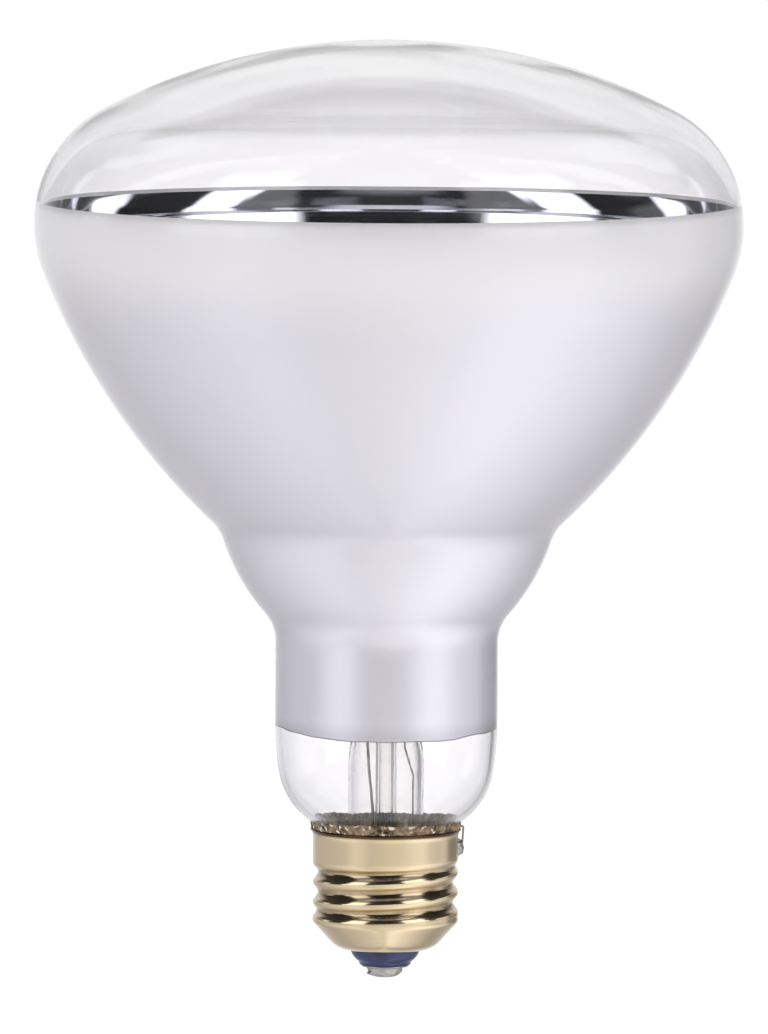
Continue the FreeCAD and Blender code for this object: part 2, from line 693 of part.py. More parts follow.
def build():
    outline = bulb_outline()
    height = outline.points[3][1] + FILAMENT_H
    supports = make_supports(height)
    leads = {"centre": make_inner_lead(-1, height), "side": make_inner_lead(1, height)}
    seals = {"centre": make_seal_wire(-1), "side": make_seal_wire(1)}
    outer = {"centre": make_centre_lead(), "side": make_side_lead(outline)}
    parts = {}
    parts["glass_envelope"] = make_envelope(outline)
    parts["reflector_coating"] = make_coating(outline)
    parts["stem_glass"] = make_stem(outline).cut(list(seals.values()))
    parts["exhaust_tube"] = make_exhaust()
    parts["arbor_rod"] = make_arbor(height - BEAD_DROP).cut(supports)
    parts["heat_shield"] = make_shield()
    parts["filament"] = make_filament(height).cut(supports + list(leads.values()))
    for side in ("centre", "side"):
        parts["inner_lead_" + side] = leads[side]
        parts["seal_wire_" + side] = seals[side]
        parts["outer_lead_" + side] = outer[side]
    for index, support in enumerate(supports):
        parts["filament_support_%d" % (index + 1)] = support
    parts["screw_shell"] = make_shell()
    parts["basing_cement"] = make_cement(outline).cut(outer["side"])
    parts["insulator"] = make_insulator()
    parts["centre_contact"] = make_contact()
    parts["centre_solder"] = make_centre_solder().cut(outer["centre"])
    parts["side_solder"] = make_side_solder().cut(outer["side"])
    return parts


def main():
    os.makedirs("parts", exist_ok=True)
    for name, shape in build().items():
        solid = shape.Solids[0] if len(shape.Solids) == 1 else shape
        print("%-20s solids %d valid %s faces %3d volume %10.3f" % (
            name, len(shape.Solids), solid.isValid(), len(solid.Faces), solid.Volume))
        solid.exportStep(os.path.join("parts", name + ".step"))


main()
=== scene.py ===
# Infrared heat lamp bulb: clear domed lens, mirrored bowl, rolled brass screw cap
import math

import bmesh
import bpy
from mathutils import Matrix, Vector, noise


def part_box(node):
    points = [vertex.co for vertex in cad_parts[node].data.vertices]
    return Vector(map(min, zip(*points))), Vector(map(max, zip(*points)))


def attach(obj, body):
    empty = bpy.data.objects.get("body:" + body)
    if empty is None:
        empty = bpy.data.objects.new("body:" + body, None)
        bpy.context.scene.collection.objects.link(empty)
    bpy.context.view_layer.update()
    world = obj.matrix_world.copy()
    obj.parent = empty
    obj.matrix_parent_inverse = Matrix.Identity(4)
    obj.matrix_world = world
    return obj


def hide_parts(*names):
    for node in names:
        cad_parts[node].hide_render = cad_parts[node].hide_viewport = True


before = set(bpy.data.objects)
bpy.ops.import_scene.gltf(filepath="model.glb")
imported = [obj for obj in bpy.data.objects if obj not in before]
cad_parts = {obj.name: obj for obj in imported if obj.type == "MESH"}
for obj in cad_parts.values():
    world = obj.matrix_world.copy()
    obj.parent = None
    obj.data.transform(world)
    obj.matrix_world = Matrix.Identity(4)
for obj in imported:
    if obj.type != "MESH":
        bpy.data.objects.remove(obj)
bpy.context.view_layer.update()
print("frame loaded:", len(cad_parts), "nodes")

mm = 0.001
scene = bpy.context.scene
scene.view_settings.view_transform = "Standard"


def cosine(degrees):
    return math.cos(math.radians(degrees))


def sine(degrees):
    return math.sin(math.radians(degrees))


def hexColour(code):  # sRGB hex to the linear values the shaders want
    parts = [int(code[i:i + 2], 16) / 255 for i in (1, 3, 5)]
    linear = [c / 12.92 if c <= 0.04045 else ((c + 0.055) / 1.055) ** 2.4 for c in parts]
    return (*linear, 1.0)


# Adds a node; an input given a socket is linked, any other input is set. A colour mix takes its share at
# input 0 and its colours at 6 and 7, and gives its result at output 2.
def addNode(tree, kind, inputs=None, **settings):
    node = tree.nodes.new(kind)
    for name, value in settings.items():
        setattr(node, name, value)
    for key, value in (inputs or {}).items():
        if isinstance(value, bpy.types.NodeSocket):
            tree.links.new(value, node.inputs[key])
        else:
            node.inputs[key].default_value = value
    return node


# Gives a colour ramp its stops, as (position, red, green, blue)
def fillRamp(ramp, stops):
    elements = ramp.color_ramp.elements
    while len(elements) < len(stops):
        elements.new(1.0)
    for element, (position, *colour) in zip(elements, stops):
        element.position = position
        element.color = (*colour, 1)


# A new material, its tree, and the object coordinates that its patterns read
def newMaterial(name):
    material = bpy.data.materials.new(name)
    material.use_nodes = True
    tree = material.node_tree
    tree.nodes.clear()
    return material, tree, addNode(tree, "ShaderNodeTexCoord").outputs["Object"]


def newTree(name, sizes):
    tree = bpy.data.node_groups.new(name, "GeometryNodeTree")
    tree.interface.new_socket("Geometry", in_out="INPUT", socket_type="NodeSocketGeometry")
    for size, kind in sizes.items():
        tree.interface.new_socket(size, in_out="INPUT", socket_type="NodeSocket" + kind)
    tree.interface.new_socket("Geometry", in_out="OUTPUT", socket_type="NodeSocketGeometry")
    return tree, addNode(tree, "NodeGroupInput").outputs


# Runs a geometry node tree on a holder and keeps the result as a plain mesh
def bakeTree(name, mesh, tree, sizes):
    holder = bpy.data.objects.new(name, mesh)
    scene.collection.objects.link(holder)
    modifier = holder.modifiers.new(tree.name, "NODES")
    modifier.node_group = tree
    for item in tree.interface.items_tree:
        if item.item_type == "SOCKET" and item.in_out == "INPUT" and item.name in sizes:
            modifier[item.identifier] = sizes[item.name]
    evaluated = holder.evaluated_get(bpy.context.evaluated_depsgraph_get())
    baked = bpy.data.meshes.new_from_object(evaluated)
    holder.modifiers.remove(modifier)
    bpy.data.objects.remove(holder)
    baked.name = name
    baked.shade_smooth()
    return baked


def addPiece(name, mesh, nodes, materials=()):
    piece = bpy.data.objects.new(name, mesh)
    scene.collection.objects.link(piece)
    for material in materials:
        mesh.materials.append(material)
    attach(piece, "root")
    if nodes:
        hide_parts(*nodes)
    return piece


# Writes a bmesh shape into a mesh and frees it
def keepShape(mesh, shape):
    shape.to_mesh(mesh)
    shape.free()
    mesh.shade_smooth()
    return mesh


# Turns a half section of (radius, height) points in mm; a section that misses the axis is joined up
def latheMesh(name, section, segments):
    points, rings, faces = [], [], []
    for radius, height in section:
        if radius < 1e-6:
            rings.append([len(points)] * segments)
            points.append((0, 0, height * mm))
            continue
        rings.append(list(range(len(points), len(points) + segments)))
        for k in range(segments):
            turn = 2 * math.pi * k / segments
            points.append((radius * math.cos(turn) * mm, radius * math.sin(turn) * mm, height * mm))
    onAxis = section[0][0] < 1e-6 and section[-1][0] < 1e-6
    for upper, lower in zip(rings, rings[1:] + ([] if onAxis else rings[:1])):
        for k in range(segments):
            j = (k + 1) % segments
            faces.append(list(dict.fromkeys([upper[k], upper[j], lower[j], lower[k]])))
    mesh = bpy.data.meshes.new(name)
    mesh.from_pydata(points, [], faces)
    shape = bmesh.new()
    shape.from_mesh(mesh)
    bmesh.ops.recalc_face_normals(shape, faces=shape.faces)
    return keepShape(mesh, shape)


merge = {
    "within": 0.001,     # mm between points that are one
    "sharpAngle": 32,    # degrees from which an edge stays crisp
}


# A merged, smooth-shaded copy of a CAD node, so glass and polished metal show no facets
def smoothCopy(node, name):
    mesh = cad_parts[node].data.copy()
    mesh.name = name
    mesh.materials.clear()
    shape = bmesh.new()
    shape.from_mesh(mesh)
    bmesh.ops.remove_doubles(shape, verts=shape.verts, dist=merge["within"] * mm)
    keepShape(mesh, shape).set_sharp_from_angle(angle=math.radians(merge["sharpAngle"]))
    return mesh


# Blown hard glass for heat: colourless and very smooth, with slow waves left by the blowing
def blownHardGlass():
    material, tree, place = newMaterial("blownHardGlass")
    waves = addNode(tree, "ShaderNodeTexNoise", {
        "Vector": place, "Scale": 40.0, "Detail": 1.0})  # 25 mm waves
    bump = addNode(tree, "ShaderNodeBump", {
        "Height": waves.outputs[0], "Strength": 0.3, "Distance": 0.4 * mm})
    glass = addNode(tree, "ShaderNodeBsdfPrincipled", {
        "Base Color": hexColour("#FDFCFD"), "Roughness": 0.0, "IOR": 1.43, "Transmission Weight": 1.0,
        "Normal": bump.outputs[0]})
    addNode(tree, "ShaderNodeOutputMaterial", {"Surface": glass.outputs[0]})
    return material


# Pressed lead glass of the stem: clear, a trace warm, with ripples from the press
def pressedLeadGlass():
    material, tree, place = newMaterial("pressedLeadGlass")
    ripple = addNode(tree, "ShaderNodeTexNoise", {
        "Vector": place, "Scale": 300.0, "Detail": 2.0})  # 3 mm ripples
    bump = addNode(tree, "ShaderNodeBump", {
        "Height": ripple.outputs[0], "Strength": 0.25, "Distance": 0.2 * mm})
    glass = addNode(tree, "ShaderNodeBsdfPrincipled", {
        "Base Color": hexColour("#FFFEFD"), "Roughness": 0.0, "IOR": 1.36, "Transmission Weight": 1.0,
        "Normal": bump.outputs[0]})
    addNode(tree, "ShaderNodeOutputMaterial", {"Surface": glass.outputs[0]})
    return material


# Film seen through the wall: height as a share of the film's, and how much of a mirror it is there
mirrorStops = [(0.0, 0.78), (0.2, 0.72), (0.35, 0.58), (0.5, 0.6), (0.8, 0.48), (0.92, 0.14), (1.0, 0.07)]


# Evaporated aluminium behind the clear wall: satin silver with faint clouds, nearer a mirror on the neck,
# frosted under the rim and greyer where it thins out
def satinAluminiumFilm(lowEdge, topEdge):
    material, tree, place = newMaterial("satinAluminiumFilm")
    height = addNode(tree, "ShaderNodeSeparateXYZ", {0: place}).outputs[2]
    clouds = addNode(tree, "ShaderNodeTexNoise", {
        "Vector": place, "Scale": 30.0, "Detail": 3.0})  # 33 mm clouds
    colour = addNode(tree, "ShaderNodeMix", {
        0: clouds.outputs[0], 6: hexColour("#ECEAEF"), 7: hexColour("#F3F1F5")}, data_type="RGBA")
    rise = addNode(tree, "ShaderNodeMapRange", {
        "Value": height, "From Min": lowEdge * mm, "From Max": topEdge * mm}).outputs[0]
    frost = addNode(tree, "ShaderNodeMapRange", {"Value": rise, "From Min": 0.76, "From Max": 0.93},
                    interpolation_type="SMOOTHSTEP").outputs[0]
    frosted = addNode(tree, "ShaderNodeMix", {
        0: frost, 6: colour.outputs[2], 7: hexColour("#FCFBFC")}, data_type="RGBA")
    thin = addNode(tree, "ShaderNodeMapRange", {
        "Value": height, "From Min": (lowEdge - 1.0) * mm, "From Max": (lowEdge + 2.2) * mm,
        "To Min": 0.8, "To Max": 0.0}, interpolation_type="SMOOTHSTEP")
    faded = addNode(tree, "ShaderNodeMix", {
        0: thin.outputs[0], 6: frosted.outputs[2], 7: hexColour("#D6D4D9")}, data_type="RGBA")
    rough = addNode(tree, "ShaderNodeMapRange", {"Value": clouds.outputs[0], "To Min": 0.29, "To Max": 0.36})
    mirror = addNode(tree, "ShaderNodeValToRGB", {0: rise})
    fillRamp(mirror, [(share, level, level, level) for share, level in mirrorStops])
    # the film's grain is under a hundredth of a mm wide, drawn at 0.5 mm so that it shows
    grain = addNode(tree, "ShaderNodeTexNoise", {"Vector": place, "Scale": 2000.0, "Detail": 2.0})
    bump = addNode(tree, "ShaderNodeBump", {
        "Height": grain.outputs[0], "Strength": 0.05, "Distance": 0.05 * mm})
    metal = addNode(tree, "ShaderNodeBsdfPrincipled", {
        "Base Color": faded.outputs[2], "Metallic": mirror.outputs[0], "Roughness": rough.outputs[0],
        "Normal": bump.outputs[0]})
    addNode(tree, "ShaderNodeOutputMaterial", {"Surface": metal.outputs[0]})
    return material


# The vacuum side of the same film: a bright mirror with a little bloom
def brightAluminiumFilm():
    material, tree, place = newMaterial("brightAluminiumFilm")
    bloom = addNode(tree, "ShaderNodeTexNoise", {
        "Vector": place, "Scale": 60.0, "Detail": 3.0})  # 17 mm patches
    rough = addNode(tree, "ShaderNodeMapRange", {"Value": bloom.outputs[0], "To Min": 0.01, "To Max": 0.07})
    metal = addNode(tree, "ShaderNodeBsdfPrincipled", {
        "Base Color": hexColour("#ECEEF2"), "Metallic": 1.0, "Roughness": rough.outputs[0]})
    addNode(tree, "ShaderNodeOutputMaterial", {"Surface": metal.outputs[0]})
    return material


# Rolled brass sheet: pale gold, fine lines round the barrel, painted shade in the thread's grooves broken up
# by stains, and tarnish on the cut rim
def rolledBrass(crestRadius, grooveDepth, threadLow, rimHeight):
    material, tree, place = newMaterial("rolledBrass")
    parts = addNode(tree, "ShaderNodeSeparateXYZ", {0: place}).outputs
    flat = addNode(tree, "ShaderNodeCombineXYZ", {0: parts[0], 1: parts[1]})
    radius = addNode(tree, "ShaderNodeVectorMath", {0: flat.outputs[0]}, operation="LENGTH").outputs["Value"]
    groove = addNode(tree, "ShaderNodeMapRange", {
        "Value": radius, "From Min": (crestRadius - grooveDepth) * mm,
        "From Max": (crestRadius - 0.2 * grooveDepth) * mm, "To Min": 1.0, "To Max": 0.0},
        interpolation_type="SMOOTHSTEP")
    rim = addNode(tree, "ShaderNodeMapRange", {
        "Value": parts[2], "From Min": (rimHeight - 0.75) * mm, "From Max": (rimHeight - 0.3) * mm},
        interpolation_type="SMOOTHSTEP")
    threaded = addNode(tree, "ShaderNodeMapRange", {
        "Value": parts[2], "From Min": (threadLow - 0.3) * mm, "From Max": (threadLow + 1.2) * mm},
        interpolation_type="SMOOTHSTEP")
    stains = addNode(tree, "ShaderNodeTexNoise", {
        "Vector": place, "Scale": 260.0, "Detail": 5.0})  # 4 mm stains
    # painted shade: the thread's grooves are darkened towards #6B5836, in patches where the stains noise is
    # high
    held = addNode(tree, "ShaderNodeMath", {0: groove.outputs[0], 1: threaded.outputs[0]},
                   operation="MULTIPLY")
    paintedGrooveShade = addNode(tree, "ShaderNodeMath", {0: held.outputs[0], 1: stains.outputs[0]}, operation="MULTIPLY")
    colour = addNode(tree, "ShaderNodeMix", {
        0: paintedGrooveShade.outputs[0], 6: hexColour("#D8C5A2"), 7: hexColour("#6B5836")}, data_type="RGBA")
    burnt = addNode(tree, "ShaderNodeMix", {
        0: rim.outputs[0], 6: colour.outputs[2], 7: hexColour("#4E3D26")}, data_type="RGBA")
    stretched = addNode(tree, "ShaderNodeMapping", {0: place, "Scale": (30.0, 30.0, 5200.0)})  # 0.2 mm lines
    lines = addNode(tree, "ShaderNodeTexNoise", {
        "Vector": stretched.outputs[0], "Scale": 1.0, "Detail": 3.0})
    bump = addNode(tree, "ShaderNodeBump", {
        "Height": lines.outputs[0], "Strength": 0.1, "Distance": 0.05 * mm})
    rough = addNode(tree, "ShaderNodeMapRange", {"Value": stains.outputs[0], "To Min": 0.08, "To Max": 0.2})
    metal = addNode(tree, "ShaderNodeBsdfPrincipled", {
        "Base Color": burnt.outputs[2], "Metallic": 1.0, "Roughness": rough.outputs[0],
        "Normal": bump.outputs[0]})
    addNode(tree, "ShaderNodeOutputMaterial", {"Surface": metal.outputs[0]})
    return material


# Moulded cobalt glass of the cap: deep blue and glossy, with swirls and small pits from the mould
def mouldedCobaltGlass():
    material, tree, place = newMaterial("mouldedCobaltGlass")
    swirl = addNode(tree, "ShaderNodeTexNoise", {
        "Vector": place, "Scale": 420.0, "Detail": 3.0, "Distortion": 0.6})  # 2.4 mm swirls
    colour = addNode(tree, "ShaderNodeMix", {
        0: swirl.outputs[0], 6: hexColour("#0B0F2E"), 7: hexColour("#1D275C")}, data_type="RGBA")
    pits = addNode(tree, "ShaderNodeTexNoise", {
        "Vector": place, "Scale": 1800.0, "Detail": 2.0})  # 0.6 mm pits
    bump = addNode(tree, "ShaderNodeBump", {
        "Height": pits.outputs[0], "Strength": 0.25, "Distance": 0.1 * mm})
    glass = addNode(tree, "ShaderNodeBsdfPrincipled", {
        "Base Color": colour.outputs[2], "Roughness": 0.14, "IOR": 1.52, "Normal": bump.outputs[0]})
    addNode(tree, "ShaderNodeOutputMaterial", {"Surface": glass.outputs[0]})
    return material


# Tin-lead solder: soft grey satin with a dull skin and small brighter scars
def tinLeadSolder():
    material, tree, place = newMaterial("tinLeadSolder")
    skin = addNode(tree, "ShaderNodeTexNoise", {
        "Vector": place, "Scale": 900.0, "Detail": 5.0, "Roughness": 0.62})  # 1 mm scars
    colour = addNode(tree, "ShaderNodeMix", {
        0: skin.outputs[0], 6: hexColour("#86837C"), 7: hexColour("#D2CFC8")}, data_type="RGBA")
    rough = addNode(tree, "ShaderNodeMapRange", {"Value": skin.outputs[0], "To Min": 0.28, "To Max": 0.55})
    bump = addNode(tree, "ShaderNodeBump", {
        "Height": skin.outputs[0], "Strength": 0.6, "Distance": 0.1 * mm})
    metal = addNode(tree, "ShaderNodeBsdfPrincipled", {
        "Base Color": colour.outputs[2], "Metallic": 1.0, "Roughness": rough.outputs[0],
        "Normal": bump.outputs[0]})
    addNode(tree, "ShaderNodeOutputMaterial", {"Surface": metal.outputs[0]})
    return material


# Basing cement: marble dust and resin, as lit and shaded copies of one mix: painted dark brown on the bare
# top as shade, painted pale against the glass as light, where the wall holds light back
def basingCement(name, dark, light, speck):
    material, tree, place = newMaterial(name)
    grain = addNode(tree, "ShaderNodeTexNoise", {
        "Vector": place, "Scale": 1300.0, "Detail": 4.0})  # 0.8 mm grains
    tone = addNode(tree, "ShaderNodeTexNoise", {
        "Vector": place, "Scale": 420.0, "Detail": 3.0})  # 2.4 mm blotches
    mixed = addNode(tree, "ShaderNodeMath", {0: grain.outputs[0], 1: tone.outputs[0]}, operation="ADD")
    spread = addNode(tree, "ShaderNodeMapRange", {
        "Value": mixed.outputs[0], "From Min": 0.8, "From Max": 1.25})
    colour = addNode(tree, "ShaderNodeMix", {
        0: spread.outputs[0], 6: hexColour(dark), 7: hexColour(light)}, data_type="RGBA")
    # the marble dust is finer than 0.1 mm, drawn as 0.7 mm specks so that it shows
    dust = addNode(tree, "ShaderNodeTexNoise", {"Vector": place, "Scale": 1100.0, "Detail": 1.0})
    specks = addNode(tree, "ShaderNodeMapRange", {
        "Value": dust.outputs[0], "From Min": 0.6, "From Max": 0.68})
    dusted = addNode(tree, "ShaderNodeMix", {
        0: specks.outputs[0], 6: colour.outputs[2], 7: hexColour(speck)}, data_type="RGBA")
    bump = addNode(tree, "ShaderNodeBump", {
        "Height": grain.outputs[0], "Strength": 0.8, "Distance": 0.3 * mm})
    paste = addNode(tree, "ShaderNodeBsdfPrincipled", {
        "Base Color": dusted.outputs[2], "Roughness": 0.92, "Normal": bump.outputs[0]})
    addNode(tree, "ShaderNodeOutputMaterial", {"Surface": paste.outputs[0]})
    return material


# Drawn wire and rolled sheet of the mount: light and stained colour, smoothest, roughest, stains per metre
mountMetals = {
    "nickelPlatedWire": ("#B4B0A8", "#6F6B64", 0.28, 0.42, 700.0),     # 1.4 mm stains
    "copperCladWire": ("#A5735A", "#6B4636", 0.3, 0.5, 900.0),         # 1.1 mm
    "rolledAluminiumSheet": ("#D2D4D7", "#B4B6BA", 0.28, 0.4, 160.0),  # 6 mm clouds
    "molybdenumWire": ("#8B8C90", "#66676B", 0.3, 0.45, 1500.0),       # 0.7 mm
    "tungstenWire": ("#6B6C70", "#4A4B4F", 0.35, 0.5, 1200.0),         # 0.8 mm
}


def drawnMetal(name, light, dark, smoothest, roughest, scale):
    material, tree, place = newMaterial(name)
    stain = addNode(tree, "ShaderNodeTexNoise", {"Vector": place, "Scale": scale, "Detail": 4.0})
    colour = addNode(tree, "ShaderNodeMix", {
        0: stain.outputs[0], 6: hexColour(light), 7: hexColour(dark)}, data_type="RGBA")
    rough = addNode(tree, "ShaderNodeMapRange", {
        "Value": stain.outputs[0], "To Min": smoothest, "To Max": roughest})
    bump = addNode(tree, "ShaderNodeBump", {
        "Height": stain.outputs[0], "Strength": 0.1, "Distance": 0.05 * mm})
    metal = addNode(tree, "ShaderNodeBsdfPrincipled", {
        "Base Color": colour.outputs[2], "Metallic": 1.0, "Roughness": rough.outputs[0],
        "Normal": bump.outputs[0]})
    addNode(tree, "ShaderNodeOutputMaterial", {"Surface": metal.outputs[0]})
    return material


blownGlass = blownHardGlass()
stemGlass = pressedLeadGlass()
filmLow, filmHigh = (corner.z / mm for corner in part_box("reflector_coating"))
satinFilm = satinAluminiumFilm(filmLow, filmHigh)
brightFilm = brightAluminiumFilm()
cobaltGlass = mouldedCobaltGlass()
solder = tinLeadSolder()
# Painted light: one cement in two copies, painted darker for the bare top and paler for the side behind the
# glass
shadedCementCopy = basingCement("shadedCementCopy", "#2C2116", "#8C7860", "#C2B4A2")
litCementCopy = basingCement("litCementCopy", "#8C6A40", "#E8CFA0", "#FFF6E8")  # against the glass
drawn = {name: drawnMetal(name, *look) for name, look in mountMetals.items()}
print("finishes mixed")

# Lengths in mm and angles in degrees from here on, unless a note says otherwise
bulb = {
    "width": 127.0,
    "domeHeight": 33.0,
    "crownRadius": 111.0,
    "bowlRadius": 125.6,
    "bowlAngle": 21.7,
    "creaseRadius": 8.0,
    "creaseAngle": 18.2,
    "bulgeRadius": 37.8,
    "bulgeAngle": 41.5,
    "neckRadius": 20.0,
    "neckHeight": 13.07,
    "neckFillet": 7.4,
    "drawRadius": 80.0,
    "drawAngle": 7.0,
    "shoulderRadius": 13.9,
    "sealFillet": 5.0,
    "sealRadius": 11.4,
    "sealHeight": 4.6,
    "skin": 0.01,        # mm inside the solid's own facets
    "wall": 1.0,
    "lensWall": 1.5,     # the lens is blown thicker at the crown
    "evenAbove": 9.5,    # mm of even wall above the film
    "thickenOver": 20.0,
    "step": 1.6,         # mm between rings
    "segments": 192,
}


# Tangent arcs from the crown to the sealed edge, as (radius, first angle, last angle, centre), and the
# lowest height; a straight run is (None, radius, top, length)
def bulbArcs():
    b = bulb
    half = b["width"] / 2
    drop = b["crownRadius"] - b["domeHeight"]
    lensCorner = (b["crownRadius"] ** 2 - half ** 2 - drop ** 2) / (2 * (b["crownRadius"] - half))
    lensAngle = math.degrees(math.atan2(drop, half - lensCorner))
    widest = b["crownRadius"] * cosine(lensAngle)
    widest += lensCorner * (cosine(b["bowlAngle"]) - cosine(lensAngle))
    waist = b["neckRadius"] - widest + b["bowlRadius"] * cosine(b["bowlAngle"])
    waist += b["creaseRadius"] * cosine(b["creaseAngle"])
    waist -= b["bulgeRadius"] * (cosine(b["bulgeAngle"]) - cosine(b["creaseAngle"]))
    waist += b["neckFillet"] * (1 - cosine(b["bulgeAngle"]))
    bowlEnd = math.degrees(math.acos(waist / (b["bowlRadius"] + b["creaseRadius"])))
    sealRun = b["sealRadius"] - b["neckRadius"] - b["drawRadius"] * (cosine(b["drawAngle"]) - 1)
    sealRun += b["shoulderRadius"] * cosine(b["drawAngle"]) + b["sealFillet"]
    sealTurn = math.degrees(math.acos(sealRun / (b["shoulderRadius"] + b["sealFillet"])))
    moves = [
        (b["crownRadius"], lensAngle), (lensCorner, -b["bowlAngle"]), (b["bowlRadius"], -bowlEnd),
        (-b["creaseRadius"], -b["creaseAngle"]), (b["bulgeRadius"], -b["bulgeAngle"]),
        (-b["neckFillet"], 0.0), (None, b["neckHeight"]), (b["drawRadius"], -b["drawAngle"]),
        (b["shoulderRadius"], -sealTurn), (-b["sealFillet"], 0.0), (None, b["sealHeight"])]
    arcs, r, z, angle = [], 0.0, 0.0, 90.0
    for radius, target in moves:
        if radius is None:
            arcs.append((None, r, z, target))
            z -= target
            continue
        centre = (r - radius * cosine(angle), z - radius * sine(angle))
        arcs.append((radius, angle, target, centre))
        r, z, angle = centre[0] + radius * cosine(target), centre[1] + radius * sine(target), target
    return arcs, z


# Points on the glass at a depth under its outer face, from the crown down to the sealed edge, in mm
def bulbCurve(depth, step):
    arcs, lowest = bulbArcs()
    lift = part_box("glass_envelope")[0].z / mm - lowest
    curve = []
    for radius, first, last, extra in arcs:
        if radius is None:
            count = max(2, round(extra / step))
            curve += [(first - depth, last - extra * k / count + lift) for k in range(count)]
            end = (first - depth, last - extra + lift)
            continue
        count = max(6, round(abs(math.radians(first - last) * radius) / step))
        for k in range(count):
            turn = first + (last - first) * k / count
            reach = radius - depth
            curve.append((extra[0] + reach * cosine(turn), extra[1] + reach * sine(turn) + lift))
    return curve + [end]


# The part of a falling curve between two heights, cut exactly at both
def cutCurve(curve, top, low):
    kept = []
    for (r0, z0), (r1, z1) in zip(curve, curve[1:]):
        for height in (top, low):
            if z1 < height <= z0:
                kept.append((r0 + (z0 - height) / (z0 - z1) * (r1 - r0), height))
        if low < z1 < top:
            kept.append((r1, z1))
    return kept


def radiusOn(curve, height):
    for (r0, z0), (r1, z1) in zip(curve, curve[1:]):
        if z1 <= height <= z0:
            return r0 + (z0 - height) / max(z0 - z1, 1e-9) * (r1 - r0)
    return curve[-1][0]


outside = bulbCurve(bulb["skin"], bulb["step"])
inside = bulbCurve(bulb["wall"], bulb["step"])
thicker = bulb["lensWall"] - bulb["wall"]
for k, (radius, height) in enumerate(inside):  # the extra wall fades out above the film
    share = max(0.0, min(1.0, (height - filmHigh - bulb["evenAbove"]) / bulb["thickenOver"]))
    lean = radius / bulb["crownRadius"]
    grown = thicker * share * share * (3 - 2 * share)
    inside[k] = (radius - grown * lean, height - grown * math.sqrt(1 - lean ** 2))
outside[0] = (0.0, outside[0][1])
inside[0] = (0.0, inside[0][1])
addPiece("glassBulb", latheMesh("glassBulb", outside + inside[::-1], bulb["segments"]),
         ["glass_envelope"], [blownGlass])
print("bulb blown")

film = {
    "sunk": 0.02,        # mm into the glass, so that no gap shows
    "thick": 0.15,
    "step": 1.6,
    "satinRim": 0.7,     # mm at the top where the frost shows past the mirror
    "edgeWave": 0.3,     # mm the masked lower edge wanders
    "edgeWaves": 2.2,    # higher for shorter waves
    "edgeSag": 1.4,      # mm it hangs lower at the front
    "sagTurn": 0.1,      # radians to the right of the front where it hangs lowest
    "edgeFractal": (0.8, 2.0, 3),  # how fast the octaves fade, step between them, their number
    "edgeFade": 8.0,     # mm over which the wander fades out upwards
    "segments": 192,
}


# Lower edge of the film: masked by hand, so it sags at the front and wanders a little
def filmEdgeDrop(azimuth):
    sag = film["edgeSag"] * (0.5 + 0.5 * math.cos(azimuth + math.pi / 2 - film["sagTurn"])) ** 2
    around = Vector((math.cos(azimuth), math.sin(azimuth), 0.3)) * film["edgeWaves"]
    return sag + film["edgeWave"] * noise.fractal(around, *film["edgeFractal"])


filmBack = cutCurve(bulbCurve(bulb["wall"] - film["sunk"], film["step"]), filmHigh, filmLow)
faceCurve = bulbCurve(bulb["wall"] + film["thick"], film["step"])
satinFace = cutCurve(faceCurve, filmHigh, filmHigh - film["satinRim"])
brightFace = cutCurve(faceCurve, filmHigh - film["satinRim"], filmLow)[1:]
filmMesh = latheMesh("mirrorFilm", filmBack + (satinFace + brightFace)[::-1], film["segments"])
for polygon in filmMesh.polygons:
    ring = polygon.index // film["segments"] - len(filmBack)
    polygon.material_index = 1 if 0 <= ring < len(brightFace) else 0
for vertex in filmMesh.vertices:
    height, radius = vertex.co.z / mm, math.hypot(vertex.co.x, vertex.co.y) / mm
    share = 1 - (height - filmLow) / film["edgeFade"]
    if share <= 0:
        continue
    azimuth = math.atan2(vertex.co.y, vertex.co.x)
    lowered = height - share * filmEdgeDrop(azimuth)
    moved = radius + radiusOn(outside, lowered) - radiusOn(outside, height)
    vertex.co = Vector((moved * math.cos(azimuth), moved * math.sin(azimuth), lowered)) * mm
addPiece("mirrorFilm", filmMesh, ["reflector_coating"], [satinFilm, brightFilm])
print("film coated")

cap = {
    "radius": 13.1,
    "wall": 0.3,
    "pitch": 3.629,
    "depth": 0.95,
    "threadLow": 10.5,
    "threadTop": 21.6,
    "crest": 15.4,        # height of a crest over +X
    "runOut": 2.1774,     # mm over which the thread fades at each end
    "rim": 26.75,
    "flareRadius": 1.7,
    "flareAngle": 45.0,
    "coneHeight": 5.44,
    "coneTop": 1.0,       # radius of the bend into the cone
    "coneLow": 4.5,       # radius of the nose
    "lip": 6.3,           # radius of the hole in the nose
    "lipFlat": 0.25,
    "segments": 144,
    "flareRows": 8,       # rings of the flare, barrel, thread, bend, cone and nose
    "barrelRows": 5,
    "threadRows": 54,
    "bendRows": 6,
    "coneRows": 4,
    "noseRows": 10,
}


